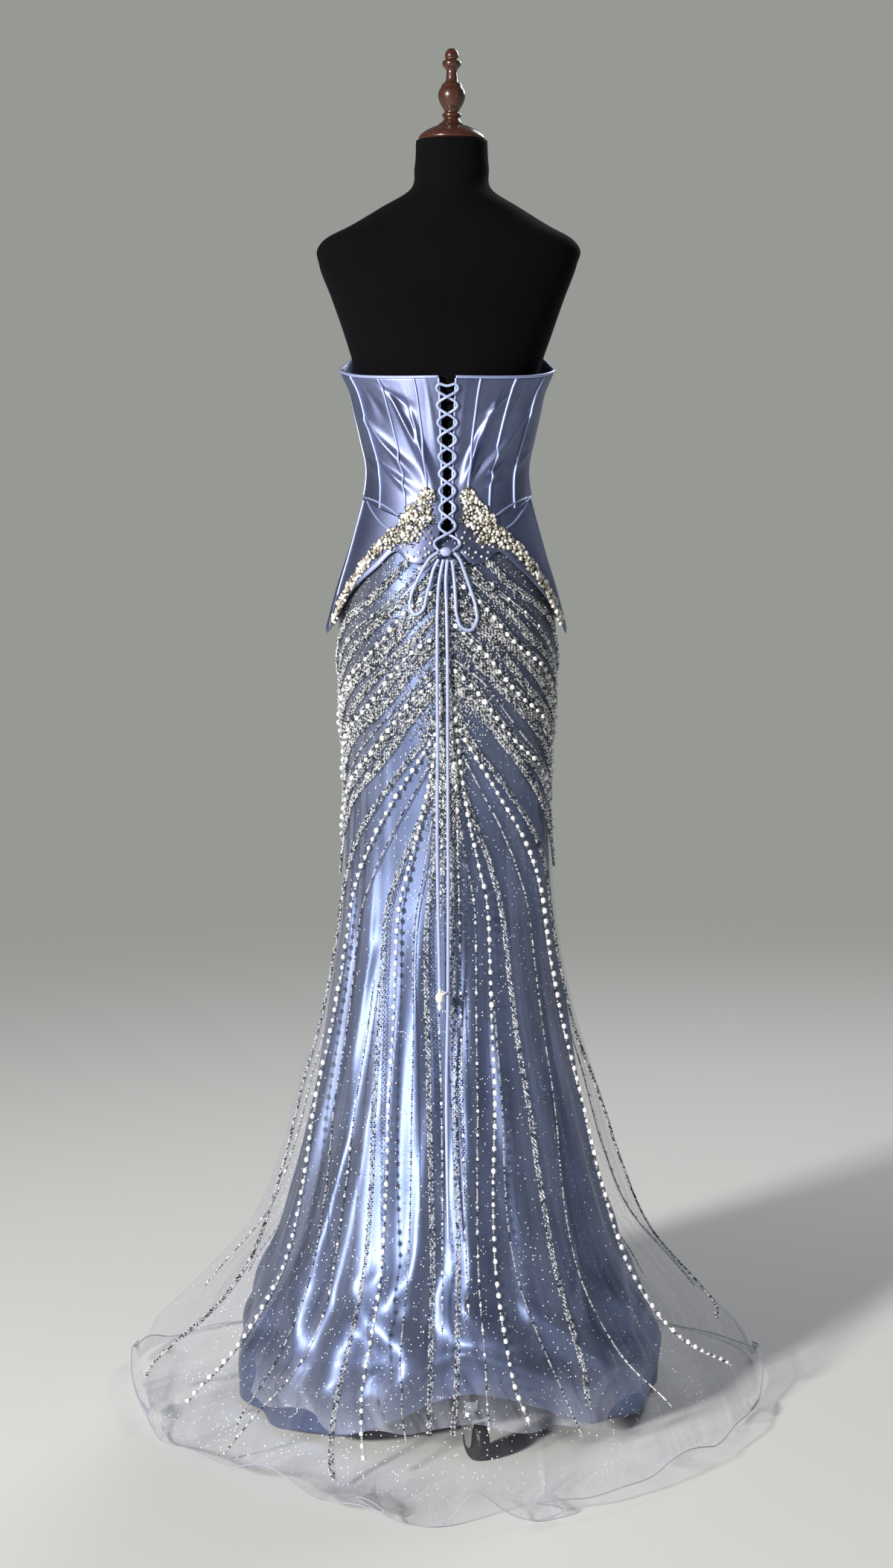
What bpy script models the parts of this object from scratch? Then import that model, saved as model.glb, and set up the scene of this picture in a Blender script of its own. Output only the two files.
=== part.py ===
"""Mermaid evening gown on a limbless dress form, seen from its laced back at -Y.

A boned satin corset with a peplum laces up the back over a gored satin skirt. A net
overskirt lies over the satin to the knee and then spreads into a short train on the floor.
The form is a smooth torso with a turned finial, on a pole with three castered legs.
Lengths are metres, +Z is up, and theta turns from the centre back towards +X.
"""
import math

import bmesh
import bpy
import numpy as np

for old in list(bpy.data.objects):
    bpy.data.objects.remove(old, do_unlink=True)

# ---- driving sizes ----
SEAM_GAP = 0.0006           # between neighbouring pieces of cloth
FLOOR_SEAM_GAP = 0.0010     # between the net's gores, which bend sharply at the floor
SATIN_WALL = 0.0012
NET_WALL = 0.0010
CORSET_WALL = 0.0020
TRIM_LIFT = 0.0013          # what is sewn on stands this far off its panel
PEARL_WALL = 0.0045
LACE_DIAMETER = 0.0036
TAIL_DIAMETER = 0.0044
WHEEL_RADIUS = 0.025
POLE_FORWARD = 0.0215       # the pole stands this far in front of the middle of the whole gown
CASTER_CIRCLE = 0.205       # pole to each caster's swivel axis
CASTER_TRAIL = 0.018
BACK_LEG_ANGLE = math.radians(8)


def sections(names, rows):
    """A table of sections: one named column for each size, one row for each section."""
    columns = np.array(rows, dtype=float).T
    return dict(zip(names.split(), columns))


FORM = sections("z half_width y_back y_front lean", [
    (0.935, 0.1300, -0.1080, 0.0950, 0.000),
    (0.960, 0.1355, -0.1140, 0.1000, 0.000),
    (1.040, 0.1395, -0.1205, 0.1060, 0.000),
    (1.100, 0.1300, -0.1115, 0.1025, 0.000),
    (1.165, 0.1130, -0.0925, 0.0940, 0.000),
    (1.248, 0.1000, -0.0800, 0.0880, 0.000),
    (1.290, 0.1060, -0.0830, 0.0980, 0.000),
    (1.340, 0.1150, -0.0885, 0.1100, 0.000),
    (1.380, 0.1235, -0.0930, 0.1140, 0.000),
    (1.430, 0.1395, -0.0945, 0.1060, 0.001),
    (1.480, 0.1570, -0.0945, 0.0960, 0.001),
    (1.525, 0.1735, -0.0925, 0.0850, 0.001),
    (1.545, 0.1765, -0.0890, 0.0790, 0.002),
    (1.559, 0.1650, -0.0850, 0.0730, 0.002),
    (1.575, 0.1350, -0.0800, 0.0670, 0.003),
    (1.601, 0.0920, -0.0710, 0.0590, 0.004),
    (1.622, 0.0575, -0.0600, 0.0530, 0.005),
    (1.655, 0.0500, -0.0505, 0.0495, 0.006),
    (1.690, 0.0480, -0.0480, 0.0480, 0.006)])
CORSET = sections("z half_width y_back y_front", [
    (1.030, 0.1620, -0.1450, 0.1340),
    (1.065, 0.1530, -0.1365, 0.1290),
    (1.100, 0.1435, -0.1260, 0.1225),
    (1.130, 0.1345, -0.1165, 0.1165),
    (1.165, 0.1245, -0.1050, 0.1080),
    (1.190, 0.1175, -0.0960, 0.1000),
    (1.215, 0.1115, -0.0895, 0.0960),
    (1.248, 0.1085, -0.0870, 0.0970),
    (1.290, 0.1170, -0.0905, 0.1120),
    (1.322, 0.1245, -0.0945, 0.1240),
    (1.353, 0.1320, -0.0985, 0.1280),
    (1.376, 0.1420, -0.1010, 0.1280),
    (1.425, 0.1520, -0.1040, 0.1290)])
SATIN_SKIRT = sections("z half_width y_back y_front y_mid", [
    (0.010, 0.2680, -0.2080, 0.3000, 0.060),
    (0.055, 0.2640, -0.2030, 0.2900, 0.055),
    (0.130, 0.2530, -0.1920, 0.2680, 0.045),
    (0.220, 0.2310, -0.1750, 0.2320, 0.030),
    (0.320, 0.2010, -0.1530, 0.1900, 0.015),
    (0.420, 0.1760, -0.1310, 0.1540, 0.005),
    (0.520, 0.1560, -0.1140, 0.1240, 0.000),
    (0.620, 0.1420, -0.1040, 0.1080, 0.000),
    (0.720, 0.1370, -0.1030, 0.1030, 0.000),
    (0.830, 0.1345, -0.1120, 0.1040, 0.000),
    (0.930, 0.1410, -0.1210, 0.1080, 0.000),
    (1.030, 0.1440, -0.1262, 0.1120, 0.000),
    (1.095, 0.1355, -0.1178, 0.1085, 0.000),
    (1.160, 0.1190, -0.0990, 0.1005, 0.000)])
NET_SKIRT = sections("z half_width y_back y_front y_mid", [
    (0.001, 0.4360, -0.4410, 0.3980, 0.140),
    (0.001, 0.4320, -0.3980, 0.3930, 0.138),
    (0.004, 0.4270, -0.3500, 0.3880, 0.134),
    (0.060, 0.3880, -0.3000, 0.3600, 0.120),
    (0.130, 0.3270, -0.2540, 0.3220, 0.090),
    (0.220, 0.2570, -0.2110, 0.2640, 0.050),
    (0.320, 0.2195, -0.1720, 0.2060, 0.020),
    (0.420, 0.1955, -0.1440, 0.1670, 0.008),
    (0.520, 0.1685, -0.1230, 0.1350, 0.002),
    (0.620, 0.1495, -0.1115, 0.1160, 0.000),
    (0.720, 0.1405, -0.1070, 0.1070, 0.000),
    (0.830, 0.1370, -0.1145, 0.1065, 0.000),
    (0.930, 0.1432, -0.1232, 0.1102, 0.000),
    (1.030, 0.1462, -0.1284, 0.1142, 0.000),
    (1.095, 0.1377, -0.1200, 0.1107, 0.000),
    (1.160, 0.1212, -0.1012, 0.1027, 0.000)])

# Folds: where each one stands, how wide it is to each side, and how far it stands out
SATIN_FOLDS = sections("angle spread height", [
    (-160, 12, 0.014), (-132, 12, 0.011), (-104, 11, 0.014), (-76, 11, 0.012),
    (-50, 10, 0.018), (-27, 9, 0.014), (16, 9, 0.012), (36, 10, 0.018),
    (62, 11, 0.013), (90, 11, 0.012), (118, 12, 0.014), (146, 12, 0.012), (172, 12, 0.010)])
NET_FOLDS = sections("angle spread height", [
    (-158, 12, 0.024), (-128, 12, 0.021), (-97, 11, 0.028), (-66, 11, 0.034),
    (-39, 9, 0.030), (-15, 8, 0.021), (9, 8, 0.026), (33, 9, 0.034),
    (58, 10, 0.026), (84, 11, 0.032), (112, 11, 0.024), (142, 12, 0.021), (171, 12, 0.024)])
# Ridges of the train where the net is raised off the floor
TRAIN_RIDGES = sections("angle height", [
    (-85.7, 0.013), (-64.3, 0.010), (-42.9, 0.016), (-14.3, 0.014),
    (7.1, 0.012), (28.6, 0.015), (57.1, 0.012), (78.6, 0.010)])
RIDGE_SPREAD = math.radians(5.2)
FOLDS_START = 0.700         # height where the flare and its folds begin
HEM_LIFT = 0.074            # the satin's hem is lifted over the back caster
HEM_LIFT_ANGLE = math.radians(8)
HEM_LIFT_SPREAD = math.radians(26)

# Gore seams of both skirts, from the centre back round one side; the other side mirrors them
GORE_SEAMS = [0, 50, 100, 152]
GORES = [("back", 0, 1), ("side_back", 1, 2), ("side_front", 2, 3)]
GORE_COLUMNS = 8

# Corset seams: angle at the waist edge and at the top edge
CORSET_SEAMS = sections("waist top", [
    (3.2, 4.7), (12, 18.5), (27, 41), (50, 66), (92, 100), (150, 153)])
CORSET_PANELS = ["centre_back", "back", "side_back", "side", "cup"]
WAIST_EDGE = sections("angle z", [
    (0, 1.176), (20, 1.180), (45, 1.194), (75, 1.211), (110, 1.212), (150, 1.204), (180, 1.202)])
TOP_EDGE = sections("angle z", [
    (0, 1.3675), (30, 1.3675), (60, 1.371), (80, 1.377), (105, 1.386),
    (130, 1.408), (150, 1.412), (168, 1.392), (180, 1.380)])
PEPLUM_HEM = sections("angle z", [
    (7, 1.140), (16, 1.125), (31, 1.141), (43, 1.119), (55, 1.096), (68, 1.066),
    (84, 1.031), (100, 1.038), (125, 1.072), (155, 1.103), (180, 1.110)])
PEPLUM_SIDE_SEAM = 80
BUST_ANGLE = math.radians(147)
BUST_SPREAD = math.radians(24)
BUST_HEIGHT = 1.335
BUST_RISE = 0.050
BUST_DEPTH = 0.022

# Pearl band: middle line and half width, from the lacing out along the peplum's hem
PEARL_BAND = sections("x z half_width", [
    (0.022, 1.222, 0.006), (0.030, 1.204, 0.014), (0.043, 1.178, 0.021), (0.062, 1.163, 0.014),
    (0.084, 1.150, 0.008), (0.103, 1.129, 0.007), (0.121, 1.104, 0.007),
    (0.137, 1.076, 0.007), (0.150, 1.045, 0.006)])


# ---- shared shape functions ----
def smooth(places, values, at):
    """Cubic through a table's rows, its slope at a row being that of its two neighbours."""
    slopes = np.gradient(values, places)
    at = np.clip(at, places[0], places[-1])
    row = np.clip(np.searchsorted(places, at, side="right") - 1, 0, len(places) - 2)
    span = places[row + 1] - places[row]
    t = (at - places[row]) / span
    return ((1 + 2 * t) * (1 - t) ** 2 * values[row] + t * (1 - t) ** 2 * span * slopes[row]
            + t * t * (3 - 2 * t) * values[row + 1] + t * t * (t - 1) * span * slopes[row + 1])


def bump(angle, centre, spread):
    """A smooth hump of height 1 round an angle."""
    turn = (angle - centre + math.pi) % (2 * math.pi) - math.pi
    return np.exp(-(turn / spread) ** 2)


def oval(theta, z, half_width, y_back, y_front, y_mid=0.0, lean=0.0):
    """Point of a section: half an ellipse for the back and half for the front."""
    reach = np.where(np.cos(theta) > 0, y_mid - y_back, y_front - y_mid)
    return np.stack([lean + half_width * np.sin(theta), y_mid - reach * np.cos(theta),
                     z + 0 * theta], axis=-1)


def outward(theta):
    return np.stack([np.sin(theta), -np.cos(theta), 0 * theta], axis=-1)


def bust(theta, z):
    """The two cups, the same on the form and on the corset over it."""
    cups = bump(theta, BUST_ANGLE, BUST_SPREAD) + bump(theta, -BUST_ANGLE, BUST_SPREAD)
    return BUST_DEPTH * cups * np.exp(-((z - BUST_HEIGHT) / BUST_RISE) ** 2)


def form_surface(theta, z):
    sizes = {name: smooth(FORM["z"], FORM[name], z) for name in FORM if name != "z"}
    return oval(theta, z, **sizes) + outward(theta) * bust(theta, z)[..., None]


def corset_surface(theta, z):
    sizes = {name: smooth(CORSET["z"], CORSET[name], z) for name in CORSET if name != "z"}
    return oval(theta, z, **sizes) + outward(theta) * bust(theta, z)[..., None]


def edge_height(edge, theta):
    """Height of an edge that is the same on both sides of the gown."""
    from_back = np.abs((theta + math.pi) % (2 * math.pi) - math.pi)
    return smooth(np.radians(edge["angle"]), edge["z"], from_back)


def skirt_sizes(table, row):
    rows = np.arange(len(table["z"]), dtype=float)
    return {name: smooth(rows, table[name], row) for name in table}


def folds_at(folds, theta):
    """Sum of the folds at an angle."""
    return sum(height * bump(theta, math.radians(angle), math.radians(spread))
               for angle, spread, height in zip(folds["angle"], folds["spread"], folds["height"]))


def fold_growth(z):
    """Folds grow from nothing at the knee to full depth near the hem."""
    return np.clip((FOLDS_START - z) / FOLDS_START, 0, 1) ** 1.5


def satin_surface(theta, row):
    sizes = skirt_sizes(SATIN_SKIRT, row)
    depth = folds_at(SATIN_FOLDS, theta) * fold_growth(sizes["z"])
    near_hem = np.clip(1 - sizes["z"] / 0.22, 0, 1) ** 1.3
    sizes["z"] = sizes["z"] + HEM_LIFT * near_hem * bump(theta, HEM_LIFT_ANGLE, HEM_LIFT_SPREAD)
    return oval(theta, **sizes) + outward(theta) * depth[..., None]


def net_surface(theta, row):
    sizes = skirt_sizes(NET_SKIRT, row)
    growth = fold_growth(sizes["z"]) * np.clip(row - 2, 0, 1)
    folds = folds_at(NET_FOLDS, theta)
    on_floor = np.clip(1 - row / 3, 0, 1)
    ridge = sum(height * np.maximum(bump(theta, math.radians(angle), RIDGE_SPREAD) - 0.16, 0)
                for angle, height in zip(TRAIN_RIDGES["angle"], TRAIN_RIDGES["height"]))
    sizes["z"] = sizes["z"] + ridge * on_floor
    return oval(theta, **sizes) + outward(theta) * (folds * growth)[..., None]


def underlay_surface(theta, row):
    """Short net layer between the satin and the train, clear of the back caster."""
    sizes = skirt_sizes(SATIN_SKIRT, row)
    drop = np.clip(1 - sizes["z"] / 0.42, 0, 1) ** 1.5
    sizes["y_back"] = sizes["y_back"] - 0.003 - 0.040 * drop
    sizes["half_width"] = sizes["half_width"] + 0.003 + 0.020 * drop
    sizes["z"] = sizes["z"] + 0.040 * np.clip(1 - sizes["z"] / 0.15, 0, 1)
    depth = folds_at(SATIN_FOLDS, theta) * fold_growth(sizes["z"])
    return oval(theta, **sizes) + outward(theta) * depth[..., None]


# ---- making objects ----
def material(name, colour, roughness, metallic=0.0):
    made = bpy.data.materials.new(name)
    made.use_nodes = True
    shader = made.node_tree.nodes["Principled BSDF"]
    shader.inputs["Base Color"].default_value = (*colour, 1)
    shader.inputs["Roughness"].default_value = roughness
    shader.inputs["Metallic"].default_value = metallic
    return made


def add_mesh(name, points, faces, surface_material):
    """One closed piece whose faces are turned outwards."""
    mesh = bpy.data.meshes.new(name)
    mesh.from_pydata([tuple(p) for p in points], [], faces)
    shaped = bmesh.new()
    shaped.from_mesh(mesh)
    bmesh.ops.recalc_face_normals(shaped, faces=shaped.faces)
    shaped.to_mesh(mesh)
    shaped.free()
    mesh.shade_smooth()
    mesh.set_sharp_from_angle(angle=math.radians(40))
    piece = bpy.data.objects.new(name, mesh)
    piece.data.materials.append(surface_material)
    bpy.context.scene.collection.objects.link(piece)
    return piece


def closed_grid(outer, inner):
    """Vertices and triangles of a wall between two grids of points."""
    rows, columns = outer.shape[:2]
    points = np.concatenate([outer.reshape(-1, 3), inner.reshape(-1, 3)])
    back = rows * columns
    faces = []
    for j in range(rows - 1):
        for i in range(columns - 1):
            a, b = j * columns + i, j * columns + i + 1
            c, d = b + columns, a + columns
            faces += [(a, b, c), (a, c, d)]
            faces += [(back + a, back + c, back + b), (back + a, back + d, back + c)]
    rim = ([i for i in range(columns)]
           + [j * columns + columns - 1 for j in range(1, rows)]
           + [(rows - 1) * columns + i for i in range(columns - 2, -1, -1)]
           + [j * columns for j in range(rows - 2, 0, -1)])
    for a, b in zip(rim, rim[1:] + rim[:1]):
        faces += [(a, back + a, back + b), (a, back + b, b)]
    return points, faces


def surface_normal(surface, theta, row):
    """Outward normal from small steps along both of a surface's parameters."""
    step = 1e-4
    along = surface(theta + step, row) - surface(theta - step, row)
    up = surface(theta, row + step) - surface(theta, row - step)
    normal = np.cross(along, up)
    return normal / np.linalg.norm(normal, axis=-1, keepdims=True)


def wall(name, surface, theta, row, thickness, cloth, lift=0.0, trim=SEAM_GAP / 2):
    """Cloth wall on a surface; both ends are trimmed so that seams keep their gap."""
    theta = theta.copy()
    step = 1e-4
    speed = np.linalg.norm(surface(theta + step, row) - surface(theta - step, row), axis=-1)
    angle_per_metre = 2 * step / speed
    theta[:, 0] += trim * angle_per_metre[:, 0]
    theta[:, -1] -= trim * angle_per_metre[:, -1]
    normal = surface_normal(surface, theta, row)
    face = surface(theta, row)
    outer = face + (lift + thickness if lift else 0.0) * normal
    inner = outer - thickness * normal
    inner[..., 2] = np.maximum(inner[..., 2], 0.0)
    points, faces = closed_grid(outer, inner)
    return add_mesh(name, points, faces, cloth)


def lathe(name, profile, centre, sides, finish, axis="z"):
    """A profile of (radius, height) from the top down, turned round an upright axis.

    A profile that begins and ends on the axis makes a solid; any other one makes a ring.
    """
    solid = profile[0][0] == 0
    ring_rows = profile[1:-1] if solid else profile
    turn = np.arange(sides) * 2 * math.pi / sides
    points = []
    for radius, height in ring_rows:
        for angle in turn:
            points.append((radius * math.cos(angle), radius * math.sin(angle), height))
    faces = []
    count = len(ring_rows)
    for j in range(count if not solid else count - 1):
        for i in range(sides):
            k, up = (i + 1) % sides, ((j + 1) % count) * sides
            faces.append((j * sides + i, j * sides + k, up + k, up + i))
    if solid:
        top, bottom = len(points), len(points) + 1
        points += [(0, 0, profile[0][1]), (0, 0, profile[-1][1])]
        last = (count - 1) * sides
        for i in range(sides):
            k = (i + 1) % sides
            faces += [(top, i, k), (bottom, last + k, last + i)]
    points = np.array(points)
    if axis == "x":
        points = points[:, [2, 0, 1]]
    return add_mesh(name, points + np.array(centre), faces, finish)


def spline_through(points, count):
    """Evenly spaced points along a smooth curve through a cord's own points."""
    points = np.array(points, dtype=float)
    place = np.concatenate([[0], np.cumsum(np.linalg.norm(np.diff(points, axis=0), axis=1))])
    fine = np.linspace(0, place[-1], 600)
    path = np.stack([smooth(place, points[:, k], fine) for k in range(3)], axis=-1)
    run = np.concatenate([[0], np.cumsum(np.linalg.norm(np.diff(path, axis=0), axis=1))])
    even = np.linspace(0, run[-1], count)
    return np.stack([np.interp(even, run, path[:, k]) for k in range(3)], axis=-1)


def cord(name, points, diameter, finish):
    """Round cord along its points, with closed ends."""
    curve = bpy.data.curves.new(name, "CURVE")
    curve.dimensions = "3D"
    spline = curve.splines.new("POLY")
    spline.points.add(len(points) - 1)
    for place, point in zip(spline.points, points):
        place.co = (*point, 1)
    curve.bevel_depth = diameter / 2
    curve.bevel_resolution = 2
    curve.use_fill_caps = True
    curve.materials.append(finish)
    piece = bpy.data.objects.new(name, curve)
    bpy.context.scene.collection.objects.link(piece)
    return piece


def union(keep, *others):
    """Join closed shapes into one body."""
    for other in others:
        joined = keep.modifiers.new("join_" + other.name, "BOOLEAN")
        joined.operation = "UNION"
        joined.object = other
        other.hide_render = True
        other.display_type = "WIRE"


# ---- materials ----
satin = material("blue_satin", (0.22, 0.28, 0.52), 0.35)
net = material("grey_blue_net", (0.35, 0.40, 0.52), 0.6)
pearls = material("cream_pearls", (0.80, 0.76, 0.66), 0.3)
rouleau = material("satin_cord", (0.35, 0.42, 0.66), 0.4)
velvet = material("black_velvet", (0.006, 0.006, 0.008), 0.9)
wood = material("turned_walnut", (0.10, 0.035, 0.018), 0.3)
steel = material("plated_steel", (0.60, 0.61, 0.62), 0.25, 1.0)
rubber = material("black_rubber", (0.02, 0.02, 0.02), 0.6)


# ---- corset: five panels each side and one centre front, boned and faced as one layer ----
def corset_point(theta, part):
    """Part 0 is the waist edge and 1 is the top edge."""
    low = edge_height(WAIST_EDGE, theta) + SEAM_GAP / 2
    high = edge_height(TOP_EDGE, theta)
    return corset_surface(theta, low + (high - low) * part)


CORSET_ROWS = np.linspace(0, 1, 6)


def seam_angle(seam, part):
    """A seam leans in towards the lacing as it goes down to the waist."""
    waist, top = CORSET_SEAMS["waist"][seam], CORSET_SEAMS["top"][seam]
    return np.radians(waist + (top - waist) * part ** 0.85)


def between(left, right, columns):
    """Angles of a grid between two edges, which may both lean."""
    return left[:, None] + (right - left)[:, None] * np.linspace(0, 1, columns)[None, :]


top_angles = []
for index, panel in enumerate(CORSET_PANELS):
    near = seam_angle(index, CORSET_ROWS)
    far = seam_angle(index + 1, CORSET_ROWS)
    columns = 6 if panel == "cup" else 5 if panel == "side" else 4
    rows = np.repeat(CORSET_ROWS[:, None], columns, axis=1)
    top_angles += list(np.linspace(near[-1], far[-1], columns))[:-1]
    wall(f"corset_{panel}_right", corset_point, between(near, far, columns), rows,
         CORSET_WALL, satin)
    wall(f"corset_{panel}_left", corset_point, between(-far, -near, columns), rows,
         CORSET_WALL, satin)

FRONT_COLUMNS = 6
front_edge = seam_angle(len(CORSET_PANELS), CORSET_ROWS)
front_top = np.linspace(front_edge[-1], 2 * math.pi - front_edge[-1], FRONT_COLUMNS)
wall("corset_centre_front", corset_point,
     between(front_edge, 2 * math.pi - front_edge, FRONT_COLUMNS),
     np.repeat(CORSET_ROWS[:, None], FRONT_COLUMNS, axis=1), CORSET_WALL, satin)


# ---- top binding: one bias strip round the top edge, open at the lacing ----
def binding_point(theta, part):
    return corset_surface(theta, edge_height(TOP_EDGE, theta) + SEAM_GAP + 0.0032 * part)


right_angles = np.array(top_angles)
binding_angles = np.concatenate([right_angles, front_top, 2 * math.pi - right_angles[::-1]])
wall("top_binding", binding_point, np.stack([binding_angles, binding_angles]),
     np.repeat([[0.0], [1.0]], len(binding_angles), axis=1), CORSET_WALL, satin)


# ---- peplum: two shaped backs and one front, joined at side seams ----
def peplum_point(theta, part):
    """Part 0 is the hem and 1 is the seam under the corset."""
    low = edge_height(PEPLUM_HEM, theta)
    high = edge_height(WAIST_EDGE, theta) - SEAM_GAP / 2
    return corset_surface(theta, low + (high - low) * part)


PEPLUM_ROWS = np.linspace(0, 1, 5)
PEPLUM_BACK_COLUMNS = 14
PEPLUM_FRONT_COLUMNS = 18
opening_edge = np.radians(7.4 + (CORSET_SEAMS["waist"][0] - 7.4) * PEPLUM_ROWS)
side_seam = np.radians(np.full(len(PEPLUM_ROWS), float(PEPLUM_SIDE_SEAM)))
back_rows = np.repeat(PEPLUM_ROWS[:, None], PEPLUM_BACK_COLUMNS, axis=1)
front_rows = np.repeat(PEPLUM_ROWS[:, None], PEPLUM_FRONT_COLUMNS, axis=1)
wall("peplum_back_right", peplum_point, between(opening_edge, side_seam, PEPLUM_BACK_COLUMNS),
     back_rows, CORSET_WALL, satin)
wall("peplum_back_left", peplum_point, between(-side_seam, -opening_edge, PEPLUM_BACK_COLUMNS),
     back_rows, CORSET_WALL, satin)
wall("peplum_front", peplum_point,
     between(side_seam, 2 * math.pi - side_seam, PEPLUM_FRONT_COLUMNS),
     front_rows, CORSET_WALL, satin)

# ---- pearl bands: sewn along the peplum's hem, on the corset's own surface moved out ----
BAND_RADIUS = 0.13          # for turning sideways distance on the peplum into an angle
BAND_COLUMNS = 16
band_u = BAND_RADIUS * np.arcsin(
    PEARL_BAND["x"] / smooth(CORSET["z"], CORSET["half_width"], PEARL_BAND["z"]))
band_place = np.concatenate([[0], np.cumsum(np.hypot(np.diff(band_u),
                                                     np.diff(PEARL_BAND["z"])))])
band_run = np.linspace(0, band_place[-1], BAND_COLUMNS)
middle_u = smooth(band_place, band_u, band_run)
middle_z = smooth(band_place, PEARL_BAND["z"], band_run)
half_width = smooth(band_place, PEARL_BAND["half_width"], band_run)
slope_u, slope_z = np.gradient(middle_u), np.gradient(middle_z)
slope = np.hypot(slope_u, slope_z)
across = np.linspace(-1, 1, 4)[:, None]
band_theta = (middle_u - across * half_width * slope_z / slope) / BAND_RADIUS
band_z = middle_z + across * half_width * slope_u / slope
for side, sign in (("right", 1), ("left", -1)):
    wall(f"pearl_band_{side}", corset_surface, sign * band_theta, band_z, PEARL_WALL, pearls,
         lift=TRIM_LIFT, trim=0)

# ---- lacing: one satin cord crossing down the back opening ----
LACE_TOP = 1.354
LACE_BOTTOM = 1.153
LACE_CROSSINGS = 9
LACE_STEPS = 4              # points from one edge to the other
LACE_ON_PANEL = 0.0035      # how far onto the panel the lace turns
LACE_LIFT = 0.0018          # clear of the opening's edges
LACE_OVER = 0.0021          # each strand passes this far over or under at a crossing
KNOT = (-0.002, -0.1225, 1.141)
KNOT_SIZE = (0.0075, 0.0050, 0.0060)


def opening_half_width(z):
    angle = np.interp(z, [1.140, 1.176, 1.3675], np.radians([7.4, 3.2, 4.7]))
    return smooth(CORSET["z"], CORSET["half_width"], z) * np.sin(angle)


def lace_strand(side, over):
    """Cosine path from edge to edge, rising over or dipping under the other strand."""
    steps = np.arange(LACE_CROSSINGS * LACE_STEPS + 1) / LACE_STEPS
    z = LACE_TOP + (LACE_BOTTOM - LACE_TOP) * steps / LACE_CROSSINGS
    x = side * (opening_half_width(z) + LACE_ON_PANEL) * np.cos(math.pi * steps)
    theta = np.arcsin(x / smooth(CORSET["z"], CORSET["half_width"], z))
    y = corset_surface(theta, z)[:, 1] - LACE_LIFT - LACE_DIAMETER / 2
    y = y - over * LACE_OVER * np.sin(math.pi * steps) ** 4
    return np.stack([x, y, z], axis=-1)


over_strand, under_strand = lace_strand(1, 1), lace_strand(-1, -1)
top_bar = np.stack([(under_strand[0] * (1 - t) + over_strand[0] * t)
                    + np.array([0, -0.001, rise])
                    for t, rise in ((0.08, 0.0048), (0.5, 0.0030), (0.92, 0.0048))])
knot = np.array(KNOT)
reach_x = KNOT_SIZE[0] + 0.0014
under_end = knot + np.array([reach_x, 0.001, 0.0005])
over_end = knot + np.array([-reach_x, 0.001, 0.0005])
cord("lacing", np.concatenate([[under_end], under_strand[::-1], top_bar, over_strand, [over_end]]),
     LACE_DIAMETER, rouleau)

# ---- bow: knot, two loops and two tails of the same cord ----
HIP_HANG = -0.1365          # the tails hang plumb from the fullest part of the hips
HANG_CLEARANCE = 0.0068     # cord's middle to the net, with beads between


def hang(x, z, least):
    """The point in front of the net where a cord hangs at x and z."""
    row = np.interp(z, NET_SKIRT["z"][2:], np.arange(2.0, len(NET_SKIRT["z"])))
    width = smooth(np.arange(float(len(NET_SKIRT["z"]))), NET_SKIRT["half_width"], row)
    on_net = net_surface(np.arcsin(x / width), row)[..., 1]
    return np.stack([x, np.minimum(least, on_net - HANG_CLEARANCE), z], axis=-1)


LEFT_LOOP = sections("x z", [
    (-0.0128, 1.1400), (-0.0215, 1.1340), (-0.0300, 1.1216), (-0.0398, 1.1020),
    (-0.0470, 1.0830), (-0.0480, 1.0690), (-0.0410, 1.0600), (-0.0325, 1.0650),
    (-0.0270, 1.0830), (-0.0220, 1.1020), (-0.0165, 1.1216), (-0.0112, 1.1310)])
RIGHT_LOOP = sections("x z", [
    (0.0088, 1.1400), (0.0150, 1.1330), (0.0215, 1.1170), (0.0300, 1.0925),
    (0.0372, 1.0680), (0.0382, 1.0520), (0.0300, 1.0400), (0.0190, 1.0430),
    (0.0125, 1.0585), (0.0105, 1.0830), (0.0088, 1.1070), (0.0062, 1.1300)])
TAIL_START_Z = 1.1308
LEFT_TAIL = sections("x z", [
    (-0.0050, TAIL_START_Z), (-0.0095, 1.1100), (-0.0125, 1.0700), (-0.0130, 1.0200),
    (-0.0125, 0.9000), (-0.0130, 0.7800), (-0.0115, 0.6600), (-0.0098, 0.5780)])
RIGHT_TAIL = sections("x z", [
    (0.0002, TAIL_START_Z), (-0.0018, 1.1100), (-0.0010, 1.0700), (0.0000, 1.0200),
    (0.0005, 0.9000), (0.0010, 0.7800), (0.0012, 0.6600), (0.0008, 0.5600),
    (-0.0010, 0.4500), (0.0000, 0.3500), (0.0015, 0.2720)])
lathe("bow_knot", [(0, KNOT_SIZE[2])]
      + [(KNOT_SIZE[0] * math.sin(a), KNOT_SIZE[2] * math.cos(a))
         for a in np.radians([30, 60, 90, 120, 150])] + [(0, -KNOT_SIZE[2])],
      (0, 0, 0), 12, rouleau)
bow_knot = bpy.data.objects["bow_knot"]
for vertex in bow_knot.data.vertices:
    vertex.co.y *= KNOT_SIZE[1] / KNOT_SIZE[0]
bow_knot.location = KNOT
for name, loop in (("bow_loop_left", LEFT_LOOP), ("bow_loop_right", RIGHT_LOOP)):
    route = hang(loop["x"], loop["z"], KNOT[1] - 0.0005)
    cord(name, spline_through(route, 24), TAIL_DIAMETER, rouleau)
for name, tail, points in (("bow_tail_left", LEFT_TAIL, 44), ("bow_tail_right", RIGHT_TAIL, 68)):
    plumb = np.where(tail["z"] < 1.05, HIP_HANG, KNOT[1] - 0.0005)
    route = hang(tail["x"], tail["z"], plumb)
    cord(name, spline_through(route, points), TAIL_DIAMETER, rouleau)
drop_top = (LEFT_TAIL["x"][-1], HIP_HANG, LEFT_TAIL["z"][-1] - 0.0006)
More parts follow.
